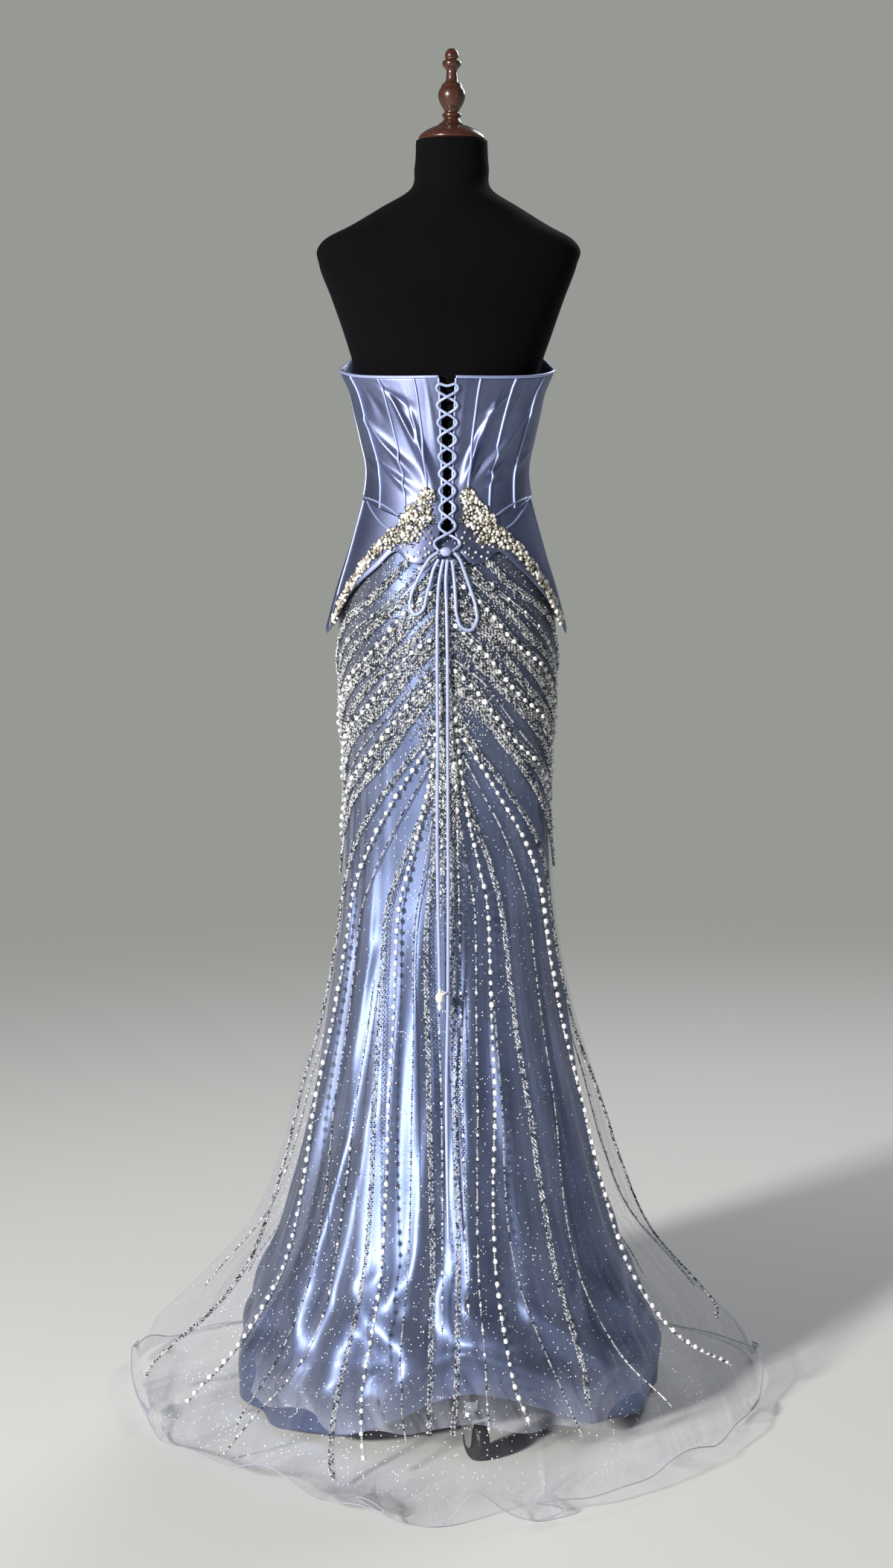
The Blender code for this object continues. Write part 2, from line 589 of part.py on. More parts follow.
lathe("pearl_drop", [(0, 0), (0.0030, -0.0004), (0.0036, -0.0030), (0.0054, -0.0060),
                     (0.0060, -0.0100), (0.0052, -0.0145), (0.0024, -0.0180),
                     (0.0020, -0.0190), (0.0034, -0.0215), (0.0036, -0.0245),
                     (0.0022, -0.0275), (0, -0.0285)], drop_top, 14, pearls)


# ---- skirts: seven gores each, the net over the satin ----
def skirt(prefix, surface, rows, thickness, cloth, trim):
    row_grid = np.repeat(rows[:, None], GORE_COLUMNS, axis=1)
    even = np.linspace(0, 1, GORE_COLUMNS)[None, :]
    for name, first, last in GORES:
        start, end = math.radians(GORE_SEAMS[first]), math.radians(GORE_SEAMS[last])
        angles = np.repeat(start + (end - start) * even, len(rows), axis=0)
        wall(f"{prefix}_{name}_right", surface, angles, row_grid, thickness, cloth, trim=trim)
        wall(f"{prefix}_{name}_left", surface, -angles[:, ::-1], row_grid, thickness, cloth,
             trim=trim)
    start = math.radians(GORE_SEAMS[-1])
    angles = np.repeat(start + (2 * math.pi - 2 * start) * even, len(rows), axis=0)
    wall(f"{prefix}_front", surface, angles, row_grid, thickness, cloth, trim=trim)


skirt("satin", satin_surface, np.arange(float(len(SATIN_SKIRT["z"]))), SATIN_WALL, satin,
      SEAM_GAP / 2)
skirt("net", net_surface, np.arange(float(len(NET_SKIRT["z"]))), NET_WALL, net,
      FLOOR_SEAM_GAP / 2)
underlay_rows = np.arange(6.0)
underlay_angles = np.radians(np.linspace(-56, 56, 14))
wall("net_underlay_back", underlay_surface, np.tile(underlay_angles, (6, 1)),
     np.repeat(underlay_rows[:, None], 14, axis=1), NET_WALL, net)

# ---- dress form: torso, neck cap and finial ----
FORM_SIDES = 28
form_rows = np.concatenate([np.linspace(0.935, 1.52, 14), FORM["z"][12:]])
form_turn = np.arange(FORM_SIDES) * 2 * math.pi / FORM_SIDES
rings = form_surface(*np.meshgrid(form_turn, form_rows))
torso_points = np.concatenate([rings.reshape(-1, 3), rings[[0, -1]].mean(axis=1)])
torso_faces = []
for j in range(len(form_rows) - 1):
    for i in range(FORM_SIDES):
        k = (i + 1) % FORM_SIDES
        torso_faces.append((j * FORM_SIDES + i, j * FORM_SIDES + k,
                            (j + 1) * FORM_SIDES + k, (j + 1) * FORM_SIDES + i))
bottom_point = len(form_rows) * FORM_SIDES
last_ring = bottom_point - FORM_SIDES
for i in range(FORM_SIDES):
    k = (i + 1) % FORM_SIDES
    torso_faces += [(bottom_point, k, i), (bottom_point + 1, last_ring + i, last_ring + k)]
add_mesh("form_torso", torso_points, torso_faces, velvet)

NECK_TOP = FORM["z"][-1]
PIECE_GAP = 0.0004
head = (FORM["lean"][-1], 0, NECK_TOP + PIECE_GAP)
lathe("neck_cap", [(0, 0.0205), (0.0200, 0.0200), (0.0300, 0.0160), (0.0390, 0.0105),
                   (0.0435, 0.0060), (0.0448, 0.0030), (0.0435, 0), (0, 0)], head, 24, wood)
lathe("finial", [(0, 0.1040), (0.0048, 0.1029), (0.0082, 0.0985), (0.0093, 0.0935),
                 (0.0084, 0.0890), (0.0120, 0.0862), (0.0126, 0.0824), (0.0112, 0.0792),
                 (0.0078, 0.0756), (0.0075, 0.0664), (0.0088, 0.0590), (0.0132, 0.0552),
                 (0.0142, 0.0520), (0.0168, 0.0478), (0.0181, 0.0416), (0.0172, 0.0346),
                 (0.0140, 0.0265), (0.0104, 0.0205), (0.0096, 0.0176), (0.0126, 0.0156),
                 (0.0126, 0.0120), (0.0102, 0.0100), (0.0116, 0.0070), (0.0150, 0.0036),
                 (0.0188, 0.0004), (0, 0.0004)],
      (head[0], 0, head[2] + 0.0205), 16, wood)

# ---- stand: pole, hub and three legs, each on a swivelling caster ----
POLE_RADIUS = 0.0125
HUB_TOP, HUB_BOTTOM, HUB_RADIUS = 0.168, 0.098, 0.030
LEG_END_BOTTOM = 0.0588
FORK_TOP = LEG_END_BOTTOM - PIECE_GAP
pole_top = FORM["z"][0] - PIECE_GAP
lathe("pole", [(0, pole_top), (POLE_RADIUS, pole_top), (POLE_RADIUS, HUB_TOP + PIECE_GAP),
               (0, HUB_TOP + PIECE_GAP)], (0, 0, 0), 20, steel)
lathe("hub", [(0, HUB_TOP), (0.020, HUB_TOP), (0.022, HUB_TOP - 0.012),
              (HUB_RADIUS, HUB_TOP - 0.020), (HUB_RADIUS, HUB_BOTTOM + 0.006),
              (HUB_RADIUS - 0.006, HUB_BOTTOM), (0, HUB_BOTTOM)], (0, 0, 0), 24, steel)
LEG_PROFILE = sections("r middle height", [
    (HUB_RADIUS + PIECE_GAP, 0.1240, 0.036), (0.060, 0.1225, 0.030), (0.095, 0.1130, 0.024),
    (0.130, 0.0980, 0.019), (0.160, 0.0800, 0.016), (0.185, 0.0675, 0.0135),
    (0.203, LEG_END_BOTTOM + 0.006, 0.012), (0.218, LEG_END_BOTTOM + 0.006, 0.012)])
LEG_WIDTH = 0.016


def plate(name, outline, thickness, finish):
    """Flat piece: an outline of (x, z) points, given thickness across y."""
    count = len(outline)
    points = [(x, side * thickness / 2, z) for side in (-1, 1) for x, z in outline]
    faces = [tuple(range(count)), tuple(range(2 * count - 1, count - 1, -1))]
    faces += [(i, (i + 1) % count, count + (i + 1) % count, count + i) for i in range(count)]
    return add_mesh(name, points, faces, finish)


def caster(side, swivel_angle, trail_angle):
    """Fork and wheel below a leg's end; the empty stands on the swivel axis."""
    stand = bpy.data.objects.new(f"swivel_{side}", None)
    bpy.context.scene.collection.objects.link(stand)
    stand.location = (CASTER_CIRCLE * math.sin(swivel_angle),
                      -CASTER_CIRCLE * math.cos(swivel_angle), 0)
    stand.rotation_euler = (0, 0, trail_angle - math.pi / 2)
    crown_bottom = 2 * WHEEL_RADIUS + 0.0010
    crown_top = crown_bottom + 0.0035
    fork = plate(f"caster_fork_{side}", [(-0.011, crown_bottom), (0.031, crown_bottom),
                                         (0.031, crown_top), (-0.011, crown_top)], 0.0236, steel)
    disc = lathe(f"fork_disc_{side}", [(0, FORK_TOP), (0.011, FORK_TOP),
                                       (0.011, crown_top - 0.001), (0, crown_top - 0.001)],
                 (0, 0, 0), 20, steel)
    end = [(CASTER_TRAIL + 0.0085 * math.sin(a), WHEEL_RADIUS - 0.0085 * math.cos(a))
           for a in np.radians(np.linspace(-80, 80, 9))]
    outline = [(-0.011, crown_top - 0.0006)] + end + [(0.031, crown_top - 0.0006)]
    cheeks = []
    for across, place in (("near", -0.0106), ("far", 0.0106)):
        cheek = plate(f"fork_cheek_{across}_{side}", outline, 0.0022, steel)
        cheek.location = (0, place, 0)
        cheeks.append(cheek)
    axle = lathe(f"fork_axle_{side}", [(0, 0.0112), (0.0030, 0.0112), (0.0030, -0.0112),
                                       (0, -0.0112)], (0, 0, 0), 12, steel)
    axle.rotation_euler = (math.pi / 2, 0, 0)
    axle.location = (CASTER_TRAIL, 0, WHEEL_RADIUS)
    wheel = lathe(f"caster_wheel_{side}", [
        (0.0034, 0.0086), (0.0215, 0.0086), (0.0243, 0.0060), (WHEEL_RADIUS, 0.0025),
        (WHEEL_RADIUS, -0.0025), (0.0243, -0.0060), (0.0215, -0.0086), (0.0034, -0.0086)],
        (0, 0, 0), 20, rubber)
    wheel.rotation_euler = (math.pi / 2, 0, 0)
    wheel.location = (CASTER_TRAIL, 0, WHEEL_RADIUS)
    for piece in (fork, disc, axle, wheel, *cheeks):
        piece.parent = stand
    union(fork, disc, *cheeks, axle)


for side, turn, trail in (("back", 0, 26), ("right", 120, 75), ("left", 240, -160)):
    leg_angle = BACK_LEG_ANGLE + math.radians(turn)
    upper = list(zip(LEG_PROFILE["r"], LEG_PROFILE["middle"] + LEG_PROFILE["height"] / 2))
    lower = list(zip(LEG_PROFILE["r"], LEG_PROFILE["middle"] - LEG_PROFILE["height"] / 2))
    leg = plate(f"leg_{side}", lower + upper[::-1], LEG_WIDTH, steel)
    leg.rotation_euler = (0, 0, leg_angle - math.pi / 2)
    caster(side, leg_angle, math.radians(trail))

# The row's origin is on the floor under the middle of the gown and its train
for piece in bpy.context.scene.objects:
    if piece.parent is None:
        piece.location.y += POLE_FORWARD
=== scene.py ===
"""Looks of a mermaid evening gown on a limbless dress form, seen from its laced back.

Lengths are metres and +Z is up. Theta turns round the form's pole from the centre back
towards +X, and a skirt's row counts its sections from the hem up to the waist.
"""
import math

import bpy
import numpy as np
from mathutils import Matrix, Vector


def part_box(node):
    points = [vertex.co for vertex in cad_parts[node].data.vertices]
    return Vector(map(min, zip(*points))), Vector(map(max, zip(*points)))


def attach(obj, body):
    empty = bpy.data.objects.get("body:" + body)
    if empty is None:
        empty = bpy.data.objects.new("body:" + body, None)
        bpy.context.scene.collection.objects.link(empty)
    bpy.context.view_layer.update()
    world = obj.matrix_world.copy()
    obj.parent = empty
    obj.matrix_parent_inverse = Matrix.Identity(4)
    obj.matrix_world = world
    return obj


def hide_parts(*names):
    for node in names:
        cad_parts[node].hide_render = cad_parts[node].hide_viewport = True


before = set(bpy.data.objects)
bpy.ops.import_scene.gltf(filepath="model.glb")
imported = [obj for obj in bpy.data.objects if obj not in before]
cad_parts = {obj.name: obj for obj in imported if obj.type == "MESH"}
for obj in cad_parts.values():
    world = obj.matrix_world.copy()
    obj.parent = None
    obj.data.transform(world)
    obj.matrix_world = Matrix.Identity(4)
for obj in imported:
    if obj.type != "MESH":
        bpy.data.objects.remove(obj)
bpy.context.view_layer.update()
BODY = "gown_and_form"
low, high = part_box("pole")
POLE_Y = (low.y + high.y) / 2


# ---- Camera, lights and floor ----
# The eye stands level behind the gown, with the lens moved down to take in the train.
# The key light stands far off to the left, high enough that its light falls on the gown at
# a low slant and throws the long shadow. Two weak ones fill in, and the air is dim.
EYE_HEIGHT = 1.214
EYE_DISTANCE = 3.5
EYE_ASIDE = -0.001
SENSOR = 36.0
FRAME_HEIGHT = 2.107
LENS_DOWN = -0.184
view = bpy.data.cameras.new("view")
view.sensor_width = SENSOR
view.lens = SENSOR * EYE_DISTANCE / FRAME_HEIGHT
view.shift_y = LENS_DOWN
view.clip_end = 40.0
eye = bpy.data.objects.new("eye", view)
eye.location = (EYE_ASIDE, POLE_Y - EYE_DISTANCE, EYE_HEIGHT)
eye.rotation_euler = (math.radians(90), 0, 0)
bpy.context.scene.collection.objects.link(eye)
bpy.context.scene.camera = eye
bpy.context.scene.view_settings.view_transform = "Standard"


def lamp(name, place, aim, size, watts, colour):
    """A square area lamp turned from its place towards its aim."""
    light = bpy.data.lights.new(name, "AREA")
    light.size = size
    light.energy = watts
    light.color = colour
    made = bpy.data.objects.new(name, light)
    made.location = place
    direction = np.array(aim, dtype=float) - np.array(place)
    made.rotation_euler = (math.atan2(math.hypot(direction[0], direction[1]), -direction[2]), 0,
                           math.atan2(direction[1], direction[0]) - math.pi / 2)
    bpy.context.scene.collection.objects.link(made)


# Place, aim, size in metres, watts and colour of each lamp.
lamp("key_light", (-4.20, -5.10, 2.53), (0, 0, 0.80), 0.63, 690, (1.0, 0.988, 0.965))
lamp("fill_light", (3.2, -3.4, 2.2), (0, 0, 0.9), 2.6, 5, (0.86, 0.94, 1.0))
lamp("back_light", (1.8, 3.0, 3.2), (0, 0, 1.0), 1.6, 62, (0.97, 0.98, 1.0))


def paint(code):
    """An sRGB hex colour as linear red, green, blue and alpha."""
    values = np.array([int(code[i:i + 2], 16) for i in (1, 3, 5)]) / 255
    linear = np.where(values <= 0.04045, values / 12.92, ((values + 0.055) / 1.055) ** 2.4)
    return (*linear.tolist(), 1.0)


def new_material(name):
    """An empty Principled material: its tree, its shader and its output."""
    made = bpy.data.materials.new(name)
    made.use_nodes = True
    return made, made.node_tree, made.node_tree.nodes["Principled BSDF"]


def add(tree, kind, settings=None, inputs=None):
    """Adds one node: settings are its properties, inputs are its sockets' values or links."""
    made = tree.nodes.new(kind)
    for key, value in (settings or {}).items():
        setattr(made, key, value)
    put(tree, made, inputs or {})
    return made


def put(tree, shader, inputs):
    """Sets each named socket, or links it where the value is another node's socket."""
    for key, value in inputs.items():
        if isinstance(value, bpy.types.NodeSocket):
            tree.links.new(value, shader.inputs[key])
        else:
            shader.inputs[key].default_value = value


def fill_mesh(name, points, faces, finish, uv=None, rounded=True):
    """A mesh from whole arrays: points (n, 3), arrays of faces with as many corners each,
    and one UV pair a corner."""
    mesh = bpy.data.meshes.new(name)
    groups = faces if isinstance(faces, list) else [faces]
    corners = np.concatenate([group.ravel() for group in groups]).astype(np.int32)
    sides = np.concatenate([np.full(len(group), group.shape[1]) for group in groups])
    starts = np.concatenate([[0], np.cumsum(sides)[:-1]])
    mesh.vertices.add(len(points))
    mesh.vertices.foreach_set("co", np.ascontiguousarray(points, np.float32).ravel())
    mesh.loops.add(len(corners))
    mesh.loops.foreach_set("vertex_index", corners)
    mesh.polygons.add(len(sides))
    mesh.polygons.foreach_set("loop_start", starts.astype(np.int32))
    mesh.polygons.foreach_set("loop_total", sides.astype(np.int32))
    mesh.polygons.foreach_set("use_smooth", np.full(len(sides), rounded))
    mesh.update(calc_edges=True)
    if uv is not None:
        layer = mesh.uv_layers.new(name="cloth")
        layer.data.foreach_set("uv", np.ascontiguousarray(uv, np.float32).ravel())
    made = bpy.data.objects.new(name, mesh)
    mesh.materials.append(finish)
    bpy.context.scene.collection.objects.link(made)
    return made


def grid_faces(rows, columns, round_it=False):
    """Four corners of each cell of a grid, wound so that along x up faces outwards."""
    last = columns if round_it else columns - 1
    j, i = np.meshgrid(np.arange(rows - 1), np.arange(last), indexing="ij")
    k = (i + 1) % columns
    return np.stack([j * columns + i, j * columns + k, (j + 1) * columns + k,
                     (j + 1) * columns + i], axis=-1).reshape(-1, 4)


def fan(ring, pole, outward_up):
    """Triangles from a ring of points to one pole, wound for a pole above or below."""
    after = np.roll(ring, -1)
    pair = (ring, after) if outward_up else (after, ring)
    return np.stack([*pair, np.full(len(ring), pole)], axis=-1)


def coordinates(tree, kind="Object"):
    """The piece's own coordinates, in metres."""
    return add(tree, "ShaderNodeTexCoord").outputs[kind]


def two_tones(tree, amount, dark, light):
    """A colour that goes from the dark one at amount 0 to the light one at amount 1."""
    return add(tree, "ShaderNodeMix", {"data_type": "RGBA"},
               {0: amount, 6: dark, 7: light}).outputs[2]


def ring_angles(sides):
    """Angles of points set evenly round a ring."""
    return np.arange(sides) * 2 * math.pi / sides


FLOOR_PALE = "#ecebe7"
AIR_GREY = "#979995"
# The studio's air: grey where it is seen, and a weaker, cooler light where it shines.
sky = bpy.data.worlds.new("studio_air")
sky.use_nodes = True
tree = sky.node_tree
shine = tree.nodes["Background"]
put(tree, shine, {"Color": (0.80, 0.86, 0.95, 1), "Strength": 0.12})
seen = add(tree, "ShaderNodeBackground", None, {"Color": paint(AIR_GREY), "Strength": 1.0})
ray = add(tree, "ShaderNodeLightPath")
air = add(tree, "ShaderNodeMixShader", None,
          {0: ray.outputs["Is Camera Ray"], 1: shine.outputs[0], 2: seen.outputs[0]})
put(tree, tree.nodes["World Output"], {"Surface": air.outputs[0]})
bpy.context.scene.world = sky

floor_painted_glow_finish, tree, shader = new_material("matt_floor_paper")
reach = add(tree, "ShaderNodeVectorMath", {"operation": "LENGTH"}, {0: coordinates(tree)})
# Far off, the paper's own colour fades to black and it glows the air's grey instead, so it
# greys with distance: painted light, which lets it fade into the grey air with no edge showing.
far = add(tree, "ShaderNodeMapRange", {"interpolation_type": "SMOOTHSTEP"},
          {"Value": reach.outputs["Value"], "From Min": 0.6, "From Max": 4.6})
put(tree, shader, {"Base Color": two_tones(tree, far.outputs[0], paint(FLOOR_PALE),
                                           (0.0, 0.0, 0.0, 1.0)),
                   "Roughness": 0.95, "Specular IOR Level": 0.0,
                   "Emission Color": paint(AIR_GREY), "Emission Strength": far.outputs[0]})
# A round sheet of paper, just under the rubber of the wheels: rings, and a fan at the middle.
FLOOR_LEVEL = -0.0002
FLOOR_SIDES = 96
floor_radius = np.array([30.0, 12.0, 4.0, 0.02])
floor_turn = ring_angles(FLOOR_SIDES)
floor_points = np.stack([floor_radius[:, None] * np.cos(floor_turn),
                         floor_radius[:, None] * np.sin(floor_turn),
                         np.full((len(floor_radius), FLOOR_SIDES), FLOOR_LEVEL)], axis=-1)
floor_points = np.concatenate([floor_points.reshape(-1, 3), [[0, 0, FLOOR_LEVEL]]])
last_ring = np.arange(FLOOR_SIDES) + (len(floor_radius) - 1) * FLOOR_SIDES
floor = fill_mesh("floor", floor_points, [
    grid_faces(len(floor_radius), FLOOR_SIDES, round_it=True),
    fan(last_ring, len(floor_points) - 1, True)], floor_painted_glow_finish)


# ---- Lacing ----
# One satin rouleau, a bias strip sewn into a round cord, laced down the open centre back.
# It starts and ends behind the bow's knot and crosses itself nine times on the way.
LACE_DIAMETER = 0.0036
LACE_TOP = 1.354
LACE_BOTTOM = 1.153
LACE_CROSSINGS = 9
LACE_ON_PANEL = 0.0035
LACE_LIFT = 0.0018
LACE_OVER = 0.0021
KNOT = np.array((-0.002, POLE_Y - 0.1225, 1.141))
KNOT_SIZE = (0.0075, 0.0050, 0.0060)


def sections(names, rows):
    """A table of sections: one named column for each size, one row for each section."""
    return dict(zip(names.split(), np.array(rows, dtype=float).T))


CORSET = sections("z half_width y_back y_front", [
    (1.030, 0.1620, -0.1450, 0.1340), (1.065, 0.1530, -0.1365, 0.1290),
    (1.100, 0.1435, -0.1260, 0.1225), (1.130, 0.1345, -0.1165, 0.1165),
    (1.165, 0.1245, -0.1050, 0.1080), (1.190, 0.1175, -0.0960, 0.1000),
    (1.215, 0.1115, -0.0895, 0.0960), (1.248, 0.1085, -0.0870, 0.0970),
    (1.290, 0.1170, -0.0905, 0.1120), (1.322, 0.1245, -0.0945, 0.1240),
    (1.353, 0.1320, -0.0985, 0.1280), (1.376, 0.1420, -0.1010, 0.1280),
    (1.425, 0.1520, -0.1040, 0.1290)])


def smooth(places, values, at):
    """Cubic through a table's rows, its slope at a row being that of its two neighbours."""
    slopes = np.gradient(values, places)
    at = np.clip(at, places[0], places[-1])
    row = np.clip(np.searchsorted(places, at, side="right") - 1, 0, len(places) - 2)
    span = places[row + 1] - places[row]
    t = (at - places[row]) / span
    return ((1 + 2 * t) * (1 - t) ** 2 * values[row] + t * (1 - t) ** 2 * span * slopes[row]
            + t * t * (3 - 2 * t) * values[row + 1] + t * t * (t - 1) * span * slopes[row + 1])


def turn_past(theta, centre):
    """Angle on from a centre round to theta, between half a turn back and half a turn on."""
    return (theta - centre + math.pi) % (2 * math.pi) - math.pi


def bump(angle, centre, spread):
    """A hump of height 1 round an angle: the bell curve of the turn over the spread."""
    return np.exp(-(turn_past(angle, centre) / spread) ** 2)


def oval(theta, z, half_width, y_back, y_front, y_mid=0.0, lean=0.0):
    """Half an ellipse for the back and half for the front, round the pole."""
    reach = np.where(np.cos(theta) > 0, y_mid - y_back, y_front - y_mid)
    return np.stack([lean + half_width * np.sin(theta),
                     POLE_Y + y_mid - reach * np.cos(theta), z + 0 * theta], axis=-1)


def outward(theta):
    """Level direction away from the pole."""
    return np.stack([np.sin(theta), -np.cos(theta), 0 * theta], axis=-1)


BUST_ANGLE = math.radians(147)
BUST_SPREAD = math.radians(24)
BUST_DEPTH = 0.022
BUST_HEIGHT = 1.335
BUST_RISE = 0.050


def bust(theta, z):
    """Two round cups: a bell curve round each one's angle times one round its height."""
    cups = bump(theta, BUST_ANGLE, BUST_SPREAD) + bump(theta, -BUST_ANGLE, BUST_SPREAD)
    return BUST_DEPTH * cups * np.exp(-((z - BUST_HEIGHT) / BUST_RISE) ** 2)


def sizes_at(table, z):
    """A table's section sizes at any height between its rows."""
    return {name: smooth(table["z"], table[name], z) for name in table if name != "z"}


def corset_surface(theta, z):
    """The corset's sections through its table's heights, pushed out over the cups."""
    return oval(theta, z, **sizes_at(CORSET, z)) + outward(theta) * bust(theta, z)[..., None]


# Half the opening's angle, at the peplum's hem, at the waist and at the top edge.
OPENING = sections("z angle", [(1.140, 7.4), (1.176, 3.2), (1.3675, 4.7)])


def opening_half_width(z):
    """Half the gap between the laced edges, from their angles times the corset's width."""
    angle = np.interp(z, OPENING["z"], np.radians(OPENING["angle"]))
    return smooth(CORSET["z"], CORSET["half_width"], z) * np.sin(angle)


def lace_strand(side, over, steps_each):
    """Cosine path from edge to edge, rising over or dipping under the other strand."""
    steps = np.arange(LACE_CROSSINGS * steps_each + 1) / steps_each
    z = LACE_TOP + (LACE_BOTTOM - LACE_TOP) * steps / LACE_CROSSINGS
    x = side * (opening_half_width(z) + LACE_ON_PANEL) * np.cos(math.pi * steps)
    theta = np.arcsin(x / smooth(CORSET["z"], CORSET["half_width"], z))
    y = corset_surface(theta, z)[:, 1] - LACE_LIFT - LACE_DIAMETER / 2
    y = y - over * LACE_OVER * np.sin(math.pi * steps) ** 4
    return np.stack([x, y, z], axis=-1)


def run_of(points, axis=0):
    """Distance to each point along a path, or along each line of a grid: the sum of steps."""
    steps = np.linalg.norm(np.diff(points, axis=axis), axis=-1)
    start = np.zeros_like(np.take(steps, [0], axis=axis))
    return np.concatenate([start, np.cumsum(steps, axis=axis)], axis=axis)


def spline_through(points, count):
    """Evenly spaced points along the smooth curve through a cord's own points."""
    points = np.array(points, dtype=float)
    place = run_of(points)
    fine = np.linspace(0, place[-1], 1200)
    path = np.stack([smooth(place, points[:, k], fine) for k in range(3)], axis=-1)
    run = run_of(path)
    even = np.linspace(0, run[-1], count)
    return np.stack([np.interp(even, run, path[:, k]) for k in range(3)], axis=-1)


def round_cord(name, points, diameter, finish):
    """A round cord along its points, with closed ends."""
    curve = bpy.data.curves.new(name, "CURVE")
    curve.dimensions = "3D"
    spline = curve.splines.new("POLY")
    spline.points.add(len(points) - 1)
    spline.points.foreach_set("co", np.c_[points, np.ones(len(points))].ravel())
    spline.use_smooth = True
    curve.bevel_depth = diameter / 2
    curve.bevel_resolution = 4
    curve.use_fill_caps = True
    curve.materials.append(finish)
    made = bpy.data.objects.new(name, curve)
    bpy.context.scene.collection.objects.link(made)
    return made


def clouds(tree, where, scale, detail, **more):
    """A cloudy pattern from 0 to 1. Its scale is in lumps a metre."""
    return add(tree, "ShaderNodeTexNoise", None,
               {"Vector": where, "Scale": scale, "Detail": detail, **more}).outputs["Fac"]


def rescaled(tree, value, low, high, **more):
    """A value from 0 to 1 carried to the range from low to high."""
    return add(tree, "ShaderNodeMapRange", None,
               {"Value": value, "To Min": low, "To Max": high, **more}).outputs[0]


def dents(tree, height, strength, distance):
    """The surface direction with a pattern's dents in it, up to a distance in metres."""
    return add(tree, "ShaderNodeBump", None,
               {"Height": height, "Strength": strength, "Distance": distance}).outputs[0]


def stretched(tree, where, *scale):
    """Coordinates with a scale of their own on each axis."""
    return add(tree, "ShaderNodeMapping", None, {"Vector": where, "Scale": scale}).outputs[0]


def settle(piece, slot, *nodes):
    """Fixes a piece to the gown and form, in place of the nodes it stands for if any."""
    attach(piece, BODY)
    if nodes:
        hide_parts(*nodes)


# Satin rouleau: woven polyester on the bias. Its float threads give a soft, long highlight.
rouleau_finish, tree, shader = new_material("satin_rouleau")
slubs = clouds(tree, coordinates(tree), 420.0, 2.0)
put(tree, shader, {"Base Color": two_tones(tree, slubs, paint("#8d9bc9"), paint("#bcc7e8")),
                   "Roughness": rescaled(tree, slubs, 0.30, 0.42),
                   "Normal": dents(tree, slubs, 0.25, 0.0004), "Sheen Weight": 0.25,
                   "Specular IOR Level": 0.7})

over_strand, under_strand = lace_strand(1, 1, 16), lace_strand(-1, -1, 16)
# At the top the cord lies across in a bar, and at the bottom it goes in behind the knot.
TOP_BAR = sections("share rise", [(0.08, 0.0048), (0.5, 0.0030), (0.92, 0.0048)])
BAR_OUT = -0.001
BEHIND_KNOT = np.array([KNOT_SIZE[0] + 0.0014, 0.001, 0.0005])
top_bar = np.stack([under_strand[0] * (1 - share) + over_strand[0] * share
                    + np.array([0, BAR_OUT, rise]) for share, rise in zip(*TOP_BAR.values())])
lace_path = spline_through(np.concatenate([
    [KNOT + BEHIND_KNOT], under_strand[::-1], top_bar, over_strand,
    [KNOT + BEHIND_KNOT * (-1, 1, 1)]]), 460)
lacing = round_cord("lacing_cord", lace_path, LACE_DIAMETER, rouleau_finish)
settle(lacing, "cord", "lacing")


# ---- Bow ----
# The lacing's rouleau tied below the opening: a knot, two loops and two tails of one cord.
# The tails hang plumb from the hips, just clear of the beads; the left one ends in pearls.
TAIL_DIAMETER = 0.0044
HIP_HANG = POLE_Y - 0.1365
HANG_CLEARANCE = 0.0068
NET_SKIRT = sections("z half_width y_back y_front y_mid", [
    (0.001, 0.4360, -0.4410, 0.3980, 0.140), (0.001, 0.4320, -0.3980, 0.3930, 0.138),
    (0.004, 0.4270, -0.3500, 0.3880, 0.134), (0.060, 0.3880, -0.3000, 0.3600, 0.120),
    (0.130, 0.3270, -0.2540, 0.3220, 0.090), (0.220, 0.2570, -0.2110, 0.2640, 0.050),
    (0.320, 0.2195, -0.1720, 0.2060, 0.020), (0.420, 0.1955, -0.1440, 0.1670, 0.008),
    (0.520, 0.1685, -0.1230, 0.1350, 0.002), (0.620, 0.1495, -0.1115, 0.1160, 0.000),
    (0.720, 0.1405, -0.1070, 0.1070, 0.000), (0.830, 0.1370, -0.1145, 0.1065, 0.000),
    (0.930, 0.1432, -0.1232, 0.1102, 0.000), (1.030, 0.1462, -0.1284, 0.1142, 0.000),
    (1.095, 0.1377, -0.1200, 0.1107, 0.000), (1.160, 0.1212, -0.1012, 0.1027, 0.000)])
NET_FOLDS = sections("angle spread height", [
    (-158, 12, 0.024), (-128, 12, 0.021), (-97, 11, 0.028), (-66, 11, 0.034),
    (-39, 9, 0.030), (-15, 8, 0.021), (9, 8, 0.026), (33, 9, 0.034),
    (58, 10, 0.026), (84, 11, 0.032), (112, 11, 0.024), (142, 12, 0.021), (171, 12, 0.024)])
TRAIN_RIDGES = sections("angle height", [
    (-85.7, 0.013), (-64.3, 0.010), (-42.9, 0.016), (-14.3, 0.014),
    (7.1, 0.012), (28.6, 0.015), (57.1, 0.012), (78.6, 0.010)])
RIDGE_SPREAD = math.radians(5.2)
RIDGE_FOOT = 0.16
FOLDS_START = 0.700


def skirt_sizes(table, row):
    """A skirt's section sizes at any row between its table's rows."""
    rows = np.arange(len(table["z"]), dtype=float)
    return {name: smooth(rows, table[name], row) for name in table}


def folds_at(folds, theta):
    """Sum of the folds' bell curves at an angle, each times its height."""
    return sum(height * bump(theta, math.radians(angle), math.radians(spread))
               for angle, spread, height in zip(*folds.values()))


def fold_growth(z):
    """Folds grow from nothing at the knee, as the 1.5th power of the way to the floor."""
    return np.clip((FOLDS_START - z) / FOLDS_START, 0, 1) ** 1.5


